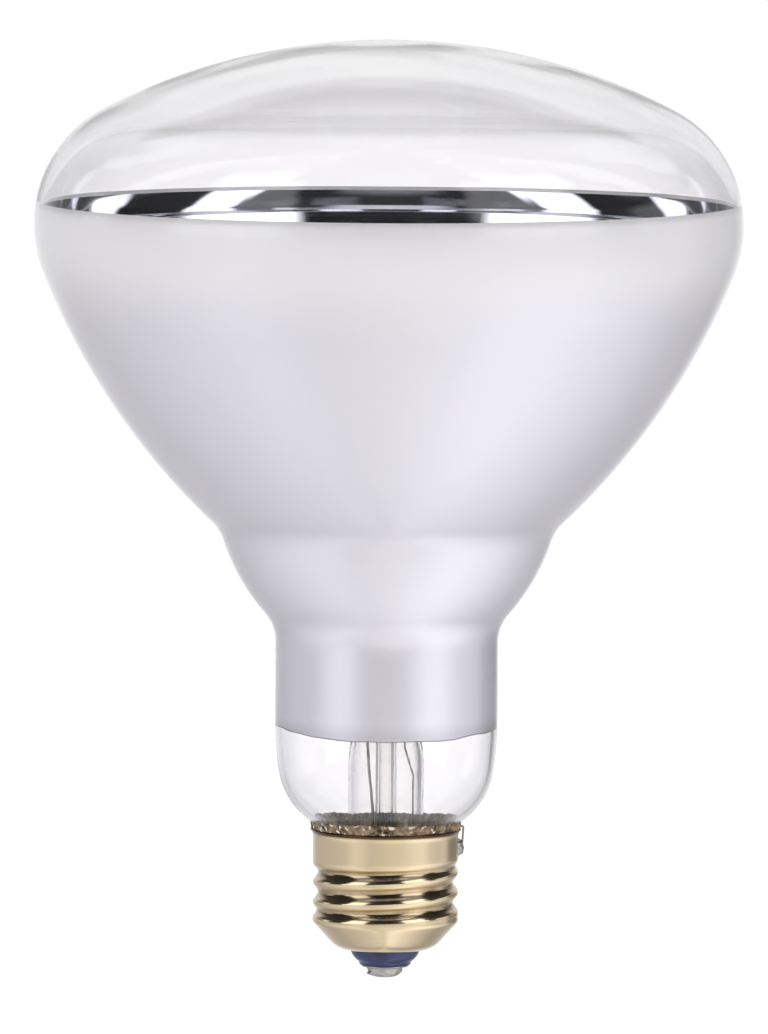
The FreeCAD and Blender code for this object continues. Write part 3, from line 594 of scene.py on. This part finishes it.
# Half section of the cap blank before its thread is rolled, at a depth under its outer face
def capSection(depth):
    c = cap
    across = c["radius"] - c["coneTop"] - c["lip"] - c["lipFlat"]
    rise = c["coneHeight"] - c["coneLow"]
    cone = math.acos((c["coneLow"] - c["coneTop"]) / math.hypot(across, rise)) - math.atan2(rise, across)
    run = math.sqrt(across ** 2 + rise ** 2 - (c["coneLow"] - c["coneTop"]) ** 2)
    flare = math.radians(c["flareAngle"])
    centre = (c["radius"] + c["flareRadius"], c["rim"] - c["flareRadius"] * math.sin(flare))
    section = []
    for k in range(c["flareRows"] + 1):
        turn = math.pi - flare * (1 - k / c["flareRows"])
        reach = c["flareRadius"] + depth
        section.append((centre[0] + reach * math.cos(turn), centre[1] + reach * math.sin(turn)))
    for k in range(1, c["barrelRows"]):
        height = centre[1] + (c["threadTop"] - centre[1]) * k / c["barrelRows"]
        section.append((c["radius"] - depth, height))
    for k in range(c["threadRows"] + 1):
        height = c["threadTop"] + (c["threadLow"] - c["threadTop"]) * k / c["threadRows"]
        section.append((c["radius"] - depth, height))
    for k in range(1, c["bendRows"] + 1):
        turn, reach = -cone * k / c["bendRows"], c["coneTop"] - depth
        section.append((c["radius"] - c["coneTop"] + reach * math.cos(turn),
                        c["threadLow"] + reach * math.sin(turn)))
    start = section[-1]
    for k in range(1, c["coneRows"] + 1):
        along = run * k / c["coneRows"]
        section.append((start[0] - math.sin(cone) * along, start[1] - math.cos(cone) * along))
    reach = c["coneLow"] - depth
    centre = (section[-1][0] - reach * math.cos(cone), section[-1][1] + reach * math.sin(cone))
    for k in range(1, c["noseRows"] + 1):
        turn = -cone - (math.pi / 2 - cone) * k / c["noseRows"]
        section.append((centre[0] + reach * math.cos(turn), centre[1] + reach * math.sin(turn)))
    section.append((c["lip"], section[-1][1]))
    return section


# Rolls a right-hand wave into the blank that fades out at both ends
def rollThread(material):
    tree, size = newTree("rollThread", dict.fromkeys(
        ("Pitch", "Depth", "Low", "Top", "Crest", "Run Out"), "Float"))
    place = addNode(tree, "GeometryNodeInputPosition").outputs[0]
    x, y, z = addNode(tree, "ShaderNodeSeparateXYZ", {0: place}).outputs
    azimuth = addNode(tree, "ShaderNodeMath", {0: y, 1: x}, operation="ARCTAN2").outputs[0]
    climb = addNode(tree, "ShaderNodeMath", {0: z, 1: size["Crest"]}, operation="SUBTRACT").outputs[0]
    turns = addNode(tree, "ShaderNodeMath", {0: climb, 1: size["Pitch"]}, operation="DIVIDE").outputs[0]
    phase = addNode(tree, "ShaderNodeMath", {0: turns, 1: -2 * math.pi, 2: azimuth},
                    operation="MULTIPLY_ADD").outputs[0]
    swing = addNode(tree, "ShaderNodeMath", {0: phase}, operation="COSINE").outputs[0]
    wave = addNode(tree, "ShaderNodeMath", {0: swing, 1: 0.5, 2: -0.5}, operation="MULTIPLY_ADD").outputs[0]
    fromLow = addNode(tree, "ShaderNodeMath", {0: z, 1: size["Low"]}, operation="SUBTRACT").outputs[0]
    fromTop = addNode(tree, "ShaderNodeMath", {0: size["Top"], 1: z}, operation="SUBTRACT").outputs[0]
    toEnd = addNode(tree, "ShaderNodeMath", {0: fromLow, 1: fromTop}, operation="MINIMUM").outputs[0]
    fade = addNode(tree, "ShaderNodeMapRange", {"Value": toEnd, "From Max": size["Run Out"]},
                   interpolation_type="SMOOTHSTEP").outputs[0]
    shaped = addNode(tree, "ShaderNodeMath", {0: wave, 1: fade}, operation="MULTIPLY").outputs[0]
    push = addNode(tree, "ShaderNodeMath", {0: shaped, 1: size["Depth"]}, operation="MULTIPLY").outputs[0]
    flat = addNode(tree, "ShaderNodeCombineXYZ", {0: x, 1: y}).outputs[0]
    outward = addNode(tree, "ShaderNodeVectorMath", {0: flat}, operation="NORMALIZE").outputs[0]
    offset = addNode(tree, "ShaderNodeVectorMath", {0: outward, "Scale": push}, operation="SCALE").outputs[0]
    rolled = addNode(tree, "GeometryNodeSetPosition", {"Geometry": size["Geometry"], "Offset": offset})
    plain = addNode(tree, "GeometryNodeRealizeInstances", {0: rolled.outputs[0]})
    finished = addNode(tree, "GeometryNodeSetMaterial", {0: plain.outputs[0], "Material": material})
    addNode(tree, "NodeGroupOutput", {0: finished.outputs[0]})
    return tree


brass = rolledBrass(cap["radius"], cap["depth"], cap["threadLow"], cap["rim"])
capBlank = latheMesh("capBlank", capSection(0.0) + capSection(cap["wall"])[::-1], cap["segments"])
capMesh = bakeTree("screwCap", capBlank, rollThread(brass), {
    "Pitch": cap["pitch"] * mm, "Depth": cap["depth"] * mm, "Low": cap["threadLow"] * mm,
    "Top": cap["threadTop"] * mm, "Crest": cap["crest"] * mm, "Run Out": cap["runOut"] * mm})
addPiece("screwCap", capMesh, ["screw_shell"])
print("cap rolled")

coil = {
    "ringRadius": 11.0,
    "outer": 1.4,         # across the coil
    "wire": 0.3,
    "wireSides": 8,
    "turns": 66,
    "pointsPerTurn": 16,
    "start": -28.0,       # degrees, just past the side lead
    "span": 236.0,
}


# Winds one wire round a ring that stays open between the leads
def windCoil(material):
    sizes = dict.fromkeys(
        ("Ring Radius", "Coil Radius", "Wire Radius", "Height", "Start", "Span", "Turns"), "Float")
    tree, size = newTree("windCoil", {**sizes, "Points": "Int"})
    line = addNode(tree, "GeometryNodeCurvePrimitiveLine", {"End": (1.0, 0.0, 0.0)})
    points = addNode(tree, "GeometryNodeResampleCurve", {"Curve": line.outputs[0], "Count": size["Points"]})
    along = addNode(tree, "GeometryNodeSplineParameter").outputs[0]
    ring = addNode(tree, "ShaderNodeMath", {0: size["Span"], 1: along, 2: size["Start"]},
                   operation="MULTIPLY_ADD").outputs[0]
    turned = addNode(tree, "ShaderNodeMath", {0: size["Turns"], 1: along}, operation="MULTIPLY").outputs[0]
    wound = addNode(tree, "ShaderNodeMath", {0: turned, 1: 2 * math.pi}, operation="MULTIPLY").outputs[0]
    swing = addNode(tree, "ShaderNodeMath", {0: wound}, operation="COSINE").outputs[0]
    rise = addNode(tree, "ShaderNodeMath", {0: wound}, operation="SINE").outputs[0]
    reach = addNode(tree, "ShaderNodeMath", {0: size["Coil Radius"], 1: swing, 2: size["Ring Radius"]},
                    operation="MULTIPLY_ADD").outputs[0]
    height = addNode(tree, "ShaderNodeMath", {0: size["Coil Radius"], 1: rise, 2: size["Height"]},
                     operation="MULTIPLY_ADD").outputs[0]
    ringX = addNode(tree, "ShaderNodeMath", {0: ring}, operation="COSINE").outputs[0]
    ringY = addNode(tree, "ShaderNodeMath", {0: ring}, operation="SINE").outputs[0]
    x = addNode(tree, "ShaderNodeMath", {0: reach, 1: ringX}, operation="MULTIPLY").outputs[0]
    y = addNode(tree, "ShaderNodeMath", {0: reach, 1: ringY}, operation="MULTIPLY").outputs[0]
    place = addNode(tree, "ShaderNodeCombineXYZ", {0: x, 1: y, 2: height}).outputs[0]
    path = addNode(tree, "GeometryNodeSetPosition", {"Geometry": points.outputs[0], "Position": place})
    profile = addNode(tree, "GeometryNodeCurvePrimitiveCircle", {
        "Resolution": coil["wireSides"], "Radius": size["Wire Radius"]})
    tube = addNode(tree, "GeometryNodeCurveToMesh", {
        "Curve": path.outputs[0], "Profile Curve": profile.outputs[0], "Fill Caps": True})
    plain = addNode(tree, "GeometryNodeRealizeInstances", {0: tube.outputs[0]})
    finished = addNode(tree, "GeometryNodeSetMaterial", {0: plain.outputs[0], "Material": material})
    addNode(tree, "NodeGroupOutput", {0: finished.outputs[0]})
    return tree


coilLow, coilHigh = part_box("filament")
coilMesh = bakeTree("filamentCoil", bpy.data.meshes.new("coilFormer"), windCoil(drawn["tungstenWire"]), {
    "Ring Radius": coil["ringRadius"] * mm, "Coil Radius": (coil["outer"] - coil["wire"]) / 2 * mm,
    "Wire Radius": coil["wire"] / 2 * mm, "Height": (coilLow.z + coilHigh.z) / 2,
    "Start": math.radians(coil["start"]), "Span": math.radians(coil["span"]),
    "Turns": float(coil["turns"]), "Points": coil["turns"] * coil["pointsPerTurn"]})
addPiece("filamentCoil", coilMesh, ["filament"])
print("filament wound")

cementRing = {
    "under": 4.84,       # mm below the rim
    "over": 2.1,         # mm above the rim at the glass, where most of it squeezed out
    "least": 0.3,        # share of that on the far side
    "intoGlass": 0.02,
    "ragged": 0.35,      # mm of unevenness on top
    "crumbs": 9.0,       # higher for smaller crumbs
    "crumbFractal": (0.8, 2.1, 4),
    "step": 0.4,
    "topSteps": 8,
    "segments": 240,
}


# Ring of cement between shell and glass; it stands higher at the front, with a crumbly top
def cementRingMesh():
    c = cementRing
    low, rim = cap["rim"] - c["under"], cap["rim"]
    glassSide = cutCurve(bulbCurve(c["intoGlass"], c["step"]), rim + c["over"], low)
    capSide = [point for point in capSection(cap["wall"]) if point[1] > low]
    capSide.append((cap["radius"] - cap["wall"], low))
    top = [glassSide[0]] * (c["topSteps"] - 1)
    mesh = latheMesh("basingCement", capSide + glassSide[::-1] + top, c["segments"])
    glassFirst, topFirst = len(capSide), len(capSide) + len(glassSide)
    # the side against the glass takes the paler copy with painted light; the cap side and the top take the
    # darker copy with painted shade
    for polygon in mesh.polygons:
        polygon.material_index = 1 if glassFirst <= polygon.index // c["segments"] < topFirst - 1 else 0
    for vertex in mesh.vertices:
        ring, azimuth = vertex.index // c["segments"], math.atan2(vertex.co.y, vertex.co.x)
        height, radius = vertex.co.z / mm, math.hypot(vertex.co.x, vertex.co.y) / mm
        if ring < glassFirst or height < rim + 0.01:
            continue
        squeezed = c["least"] + (1 - c["least"]) * (0.5 - 0.5 * math.sin(azimuth))
        around = Vector((math.cos(azimuth), math.sin(azimuth), 0.2))
        spot = around * c["crumbs"] + Vector((0, 0, ring * 0.9))
        crumbs = c["ragged"] * noise.fractal(spot, *c["crumbFractal"])
        height = rim + (height - rim) * squeezed
        radius = radiusOn(glassSide, height)
        if ring >= topFirst - 1:
            height += crumbs
        if ring >= topFirst:
            share = (ring - topFirst + 1) / c["topSteps"]
            radius += (capSide[0][0] - radius) * share
            height += (rim - height) * share
        vertex.co = Vector((radius * math.cos(azimuth), radius * math.sin(azimuth), height)) * mm
    return mesh


addPiece("basingCement", cementRingMesh(), ["basing_cement"], [shadedCementCopy, litCementCopy])

tip = {
    "height": 1.9,
    "width": 6.3,
    "flat": 2.2,         # across its lowest face
    "bore": 1.21,        # radius of the eyelet's hole, which it fills up to the plug
    "plug": 3.2,
    "fullness": (0.8, 0.9),  # powers under 1 swell the dome outwards and downwards
    "lump": 0.2,         # mm of unevenness
    "lumps": 0.7,        # higher for smaller lumps
    "lumpFractal": (0.8, 2.0, 3),
    "lumpFade": 0.5,     # mm from the flat and the axis within which the lumps fade
    "spurSide": 205.0,   # where the iron pulled away
    "spurFacing": 0.9,   # cosine from that side within which the spur rises
    "spurHeight": 0.7,
    "spurThick": 0.35,
    "spur": 0.8,
    "rows": 14,
    "segments": 96,
}


# Solder dome under the eyelet: an uneven bead with a small pulled spur
def tipSolderMesh():
    half, flat = tip["width"] / 2, tip["flat"] / 2
    section = [(0.0, tip["plug"]), (tip["bore"], tip["plug"]), (tip["bore"], tip["height"])]
    outwards, downwards = tip["fullness"]
    for k in range(tip["rows"] + 1):
        turn = 90 * k / tip["rows"]
        section.append((flat + (half - flat) * max(cosine(turn), 0.0) ** outwards,
                        tip["height"] * (1 - sine(turn) ** downwards)))
    section += [(flat * (1 - k / 4), 0.0) for k in range(1, 5)]
    mesh = latheMesh("tipSolder", section, tip["segments"])
    lean = Vector((cosine(tip["spurSide"]), sine(tip["spurSide"]), 0))
    for vertex in mesh.vertices:
        here = vertex.co / mm
        if here.z > tip["height"] - 0.05:
            continue
        reach = math.hypot(here.x, here.y)
        lump = noise.fractal(here * tip["lumps"], *tip["lumpFractal"]) * tip["lump"]
        grown = 1 + lump * min(1.0, here.z / tip["lumpFade"]) / max(reach, tip["lumpFade"])
        facing = Vector((here.x, here.y, 0)).normalized().dot(lean) if reach > 0.1 else 0.0
        level = (here.z - tip["spurHeight"]) / tip["spurThick"]
        rise = max(0.0, facing - tip["spurFacing"]) / (1 - tip["spurFacing"])
        spur = tip["spur"] * rise * math.exp(-level ** 2)
        vertex.co = Vector((here.x * grown + lean.x * spur, here.y * grown + lean.y * spur,
                            here.z + abs(lump) * 0.3)) * mm
    return mesh


addPiece("tipSolder", tipSolderMesh(), ["centre_solder"], [solder])

bead = {
    "out": 1.2,          # half its size outwards, round the barrel and up
    "wide": 1.97,
    "tall": 1.6,
    "drop": 3.25,        # mm under the rim
    "sunk": 0.25,        # mm its middle lies under the barrel's face
    "sag": 0.25,         # mm it slumped before it set
    "lump": 0.14,        # share of its size
    "lumps": 1.6,        # higher for smaller lumps
    "lumpFractal": (0.9, 2.0, 3),
    "lumpSeed": (3, 1, 7),
    "inward": 0.1,       # share of its roundness left on the barrel's side
}


# Bead of solder that holds the side wire to the barrel
def sideBeadMesh():
    shape = bmesh.new()
    bmesh.ops.create_icosphere(shape, subdivisions=5, radius=1.0)
    for vertex in shape.verts:
        spot = vertex.co * bead["lumps"] + Vector(bead["lumpSeed"])
        lump = 1 + bead["lump"] * noise.fractal(spot, *bead["lumpFractal"])
        out = vertex.co.x * lump * bead["out"] * (1 if vertex.co.x > 0 else bead["inward"])
        around = vertex.co.y * lump * bead["wide"] / cap["radius"]
        rise = vertex.co.z * lump * bead["tall"] - bead["sag"] * (1 - vertex.co.z ** 2)
        radius = cap["radius"] - bead["sunk"] + out
        vertex.co = Vector((radius * math.cos(around), radius * math.sin(around),
                            cap["rim"] - bead["drop"] + rise)) * mm
    return keepShape(bpy.data.meshes.new("sideSolder"), shape)


addPiece("sideSolder", sideBeadMesh(), ["side_solder"], [solder])
print("cement and solder set")

smoothPieces = {
    "stem_glass": ("pressedStem", "clear_glass", stemGlass),
    "exhaust_tube": ("pumpTube", "clear_glass", stemGlass),
    "arbor_rod": ("arborRod", "clear_glass", stemGlass),
    "heat_shield": ("heatShield", "aluminium", drawn["rolledAluminiumSheet"]),
    "insulator": ("capInsulator", "blue_glass", cobaltGlass),
    "centre_contact": ("tipEyelet", "solder", solder),
}
for node, (name, slotName, material) in smoothPieces.items():
    addPiece(name, smoothCopy(node, name), [node], [material])

wires = {
    "inner_lead": ("nickelPlatedWire", ("centre", "side")),
    "seal_wire": ("copperCladWire", ("centre", "side")),
    "outer_lead": ("nickelPlatedWire", ("centre", "side")),
    "filament_support": ("molybdenumWire", ("1", "2", "3", "4", "5")),
}
for wire, (name, ends) in wires.items():
    for end in ends:
        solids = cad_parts[wire + "_" + end].data
        solids.materials.clear()
        solids.materials.append(drawn[name])

weld = {
    "radius": 0.55,
    "longer": 1.25,      # share of its width that it is tall
    "lump": 0.25,        # share of its size
    "lumps": 2500.0,     # to the metre
    "apart": 900.0,      # to the metre between balls, so that no two are alike
}


# Small balls where the seal wires are welded to the leads
def weldMesh():
    shape = bmesh.new()
    for side in ("centre", "side"):
        low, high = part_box("seal_wire_" + side)
        for end in (low.z, high.z):
            middle = Vector(((low.x + high.x) / 2, (low.y + high.y) / 2, end))
            ball = bmesh.ops.create_icosphere(shape, subdivisions=3, radius=weld["radius"] * mm)["verts"]
            for vertex in ball:
                spot = vertex.co * weld["lumps"] + middle * weld["apart"]
                swell = 1 + weld["lump"] * noise.noise(spot)
                vertex.co = Vector((vertex.co.x * swell, vertex.co.y * swell,
                                    vertex.co.z * weld["longer"])) + middle
    return keepShape(bpy.data.meshes.new("weldBeads"), shape)


addPiece("weldBeads", weldMesh(), [], [drawn["nickelPlatedWire"]])
print("stem and wires finished")

# Studio in metres, as metal and glass see it, in rings from the floor up. A ring has the heights, as the
# sine of the elevation, over which it takes over from the one below, then stops of azimuth in degrees
# (0 is the camera's side, 90 the right) and level.
studio = {
    "middle": (0.0, 0.0, 0.08),  # of the bulb
    "floor": -0.15,
    "floorHalf": 30,             # metres from its middle to its edge
    "floorGlow": 0.85,           # share of the floor's white that no shadow dims
    "floorBright": 1.09,         # strength of that share, so that both together come to white
    "worldLight": 0.8,           # even light on what isn't mirrored
    "throughGlass": 0.5,         # added behind glass, which holds the lamps' light back
    "cool": (-0.03, -0.02, 0.05),  # change of red, green and blue at the sides, where daylight comes in
    "rings": [
        (None, [(-180, 0.95), (-155, 0.66), (-135, 0.58), (-116, 0.74), (-88, 0.93), (-70, 1.07), (-54, 1.2),
                (-40, 1.05), (-28, 0.92), (0, 1.08), (28, 1.22), (50, 1.5), (65, 1.55), (80, 1.4), (95, 1.2),
                (115, 0.85), (135, 0.5), (152, 0.55), (180, 0.95)]),
        ((-0.35, -0.1), [(-180, 1.08), (-165, 0.95), (-146, 0.7), (-125, 0.7), (-107, 0.72), (-84, 0.75),
                         (-65, 0.78), (-52, 0.98), (-36, 0.98), (-24, 0.8), (0, 0.86), (22, 0.92),
                         (40, 1.04), (60, 1.15), (75, 0.87), (90, 0.78), (108, 0.85), (122, 0.3),
                         (150, 0.28), (165, 0.95), (180, 1.08)]),
        ((0.0, 0.06), [(-180, 0.9), (-150, 0.85), (-135, 0.35), (-120, 0.3), (-115, 1.0), (-104, 1.0),
                       (-100, 0.05), (-76, 0.04), (-71, 1.8), (-36, 1.8), (-31, 0.03), (28, 0.02), (33, 1.8),
                       (70, 1.8), (76, 0.1), (86, 0.25), (91, 1.0), (113, 0.9), (120, 0.35), (140, 0.4),
                       (155, 0.85), (180, 0.9)]),
        ((0.26, 0.34), [(-180, 0.95), (-148, 0.85), (-132, 0.06), (-70, 0.04), (-66, 1.9), (-36, 1.9),
                        (-32, 0.04), (26, 0.03), (30, 1.9), (66, 2.0), (70, 0.04), (132, 0.06), (148, 0.85),
                        (180, 0.95)]),
        ((0.58, 0.64), [(-180, 0.05), (-74, 0.03), (-70, 1.9), (-38, 1.9), (-34, 0.03), (28, 0.03),
                        (32, 1.9), (74, 2.0), (78, 0.03), (180, 0.05)]),
        ((0.72, 0.82), [(-180, 0.4), (-140, 0.4), (-125, 0.05), (-82, 0.04), (-76, 0.45), (-48, 0.45),
                        (-42, 0.03), (36, 0.03), (42, 0.45), (82, 0.45), (88, 0.04), (125, 0.05),
                        (140, 0.4), (180, 0.4)]),
    ],
}


# Light of the studio in a direction
def studioLevel(tree, direction):
    x, y, z = addNode(tree, "ShaderNodeSeparateXYZ", {0: direction}).outputs
    front = addNode(tree, "ShaderNodeMath", {0: y, 1: -1.0}, operation="MULTIPLY").outputs[0]
    azimuth = addNode(tree, "ShaderNodeMath", {0: x, 1: front}, operation="ARCTAN2").outputs[0]
    turn = addNode(tree, "ShaderNodeMapRange", {
        "Value": azimuth, "From Min": -math.pi, "From Max": math.pi}).outputs[0]
    level = None
    for heights, stops in studio["rings"]:
        ring = addNode(tree, "ShaderNodeValToRGB", {0: turn})
        fillRamp(ring, [
            ((degrees + 180) / 360, *(glow * (1 + tint * abs(sine(degrees))) for tint in studio["cool"]))
            for degrees, glow in stops])
        if level is None:
            level = ring.outputs[0]
            continue
        rise = addNode(tree, "ShaderNodeMapRange", {
            "Value": z, "From Min": heights[0], "From Max": heights[1]},
            interpolation_type="SMOOTHSTEP").outputs[0]
        level = addNode(tree, "ShaderNodeMix", {0: rise, 6: level, 7: ring.outputs[0]},
                        data_type="RGBA").outputs[2]
    return level


# Light path outputs, and 1 for rays that show the studio: mirrored or through glass, not yet scattered
def studioRays(tree):
    rays = addNode(tree, "ShaderNodeLightPath").outputs
    mirrored = addNode(tree, "ShaderNodeMath", {0: rays["Is Glossy Ray"], 1: rays["Is Transmission Ray"]},
                       operation="MAXIMUM").outputs[0]
    shown = addNode(tree, "ShaderNodeMath", {0: mirrored, 1: rays["Diffuse Depth"]}, operation="SUBTRACT",
                    use_clamp=True).outputs[0]
    return rays, shown


# The world lights evenly, shows white to the camera, and shows the studio to glass and metal
world = bpy.data.worlds.new("studio")
scene.world = world
world.use_nodes = True
tree = world.node_tree
tree.nodes.clear()
rays, mirrored = studioRays(tree)
direction = addNode(tree, "ShaderNodeTexCoord").outputs["Generated"]
even = addNode(tree, "ShaderNodeMath", {
    0: rays["Is Transmission Ray"], 1: studio["throughGlass"], 2: studio["worldLight"]},
    operation="MULTIPLY_ADD").outputs[0]
seen = addNode(tree, "ShaderNodeMix", {
    0: rays["Is Camera Ray"], 6: even, 7: (1, 1, 1, 1)}, data_type="RGBA").outputs[2]
shown = addNode(tree, "ShaderNodeMix", {
    0: mirrored, 6: seen, 7: studioLevel(tree, direction)}, data_type="RGBA").outputs[2]
sky = addNode(tree, "ShaderNodeBackground", {"Color": shown, "Strength": 1.0})
addNode(tree, "ShaderNodeOutputWorld", {"Surface": sky.outputs[0]})

# White paper floor: white far off, with a soft shadow under the bulb; metal and glass see the studio in it
paper, tree, place = newMaterial("whitePaperFloor")
rays, mirrored = studioRays(tree)
fromBulb = addNode(tree, "ShaderNodeVectorMath", {0: place, 1: studio["middle"]},
                   operation="SUBTRACT").outputs[0]
direction = addNode(tree, "ShaderNodeVectorMath", {0: fromBulb}, operation="NORMALIZE").outputs[0]
shown = addNode(tree, "ShaderNodeMix", {
    0: mirrored, 6: (1, 1, 1, 1), 7: studioLevel(tree, direction)}, data_type="RGBA").outputs[2]
share = addNode(tree, "ShaderNodeMath", {0: rays["Is Camera Ray"], 1: studio["floorGlow"]},
                operation="MULTIPLY").outputs[0]
glowing = addNode(tree, "ShaderNodeMath", {0: share, 1: mirrored}, operation="MAXIMUM").outputs[0]
strength = addNode(tree, "ShaderNodeMath", {
    0: mirrored, 1: 1 - studio["floorBright"], 2: studio["floorBright"]},
    operation="MULTIPLY_ADD").outputs[0]
matte = addNode(tree, "ShaderNodeBsdfDiffuse", {"Color": hexColour("#F6F6F6")})
glow = addNode(tree, "ShaderNodeEmission", {"Color": shown, "Strength": strength})
both = addNode(tree, "ShaderNodeMixShader", {0: glowing, 1: matte.outputs[0], 2: glow.outputs[0]})
addNode(tree, "ShaderNodeOutputMaterial", {"Surface": both.outputs[0]})
paperMesh = bpy.data.meshes.new("paperFloor")
half, low = studio["floorHalf"], studio["floor"]
paperMesh.from_pydata([(-half, -half, low), (half, -half, low), (half, half, low), (-half, half, low)],
                      [], [(0, 1, 2, 3)])
paperMesh.materials.append(paper)
paperFloor = bpy.data.objects.new("paperFloor", paperMesh)
scene.collection.objects.link(paperFloor)

# Soft lamps either side of the camera and one overhead: azimuth, elevation, then distance, width and
# height in metres, and power in watts
lamps = {
    "softboxLeft": (-48, 25, 1.6, 0.8, 1.2, 11.0),
    "softboxRight": (46, 20, 1.6, 0.9, 1.2, 14.0),
    "softboxTop": (180, 75, 1.6, 1.2, 1.2, 9.0),
}
for name, (azimuth, elevation, distance, width, height, power) in lamps.items():
    level = cosine(elevation)
    out = Vector((sine(azimuth) * level, -cosine(azimuth) * level, sine(elevation)))
    lamp = bpy.data.lights.new(name, "AREA")
    lamp.shape = "RECTANGLE"
    lamp.size, lamp.size_y, lamp.energy = width, height, power
    box = bpy.data.objects.new(name, lamp)
    box.location = Vector(studio["middle"]) + out * distance
    box.rotation_mode = "QUATERNION"
    box.rotation_quaternion = out.to_track_quat("Z", "Y")
    box.visible_glossy = box.visible_transmission = False  # the studio rings stand for them there
    scene.collection.objects.link(box)

view = {
    "distance": 1.96,    # metres, as the target
    "elevation": 5.0,
    "target": (-0.0006, 0.0, 0.0829),
    "lens": 381.0,
    "roll": 0.3,         # the bulb leans a little in the picture
}
lens = bpy.data.cameras.new("photoCamera")
lens.lens = view["lens"]
lens.sensor_width = 36.0
lens.clip_end = 100.0
camera = bpy.data.objects.new("photoCamera", lens)
back = Vector((0, -cosine(view["elevation"]), sine(view["elevation"])))
camera.location = Vector(view["target"]) + back * view["distance"]
camera.rotation_euler = (-back).to_track_quat("-Z", "Y").to_euler()
camera.rotation_euler.rotate_axis("Z", math.radians(view["roll"]))
scene.collection.objects.link(camera)
scene.camera = camera
print("studio lit")
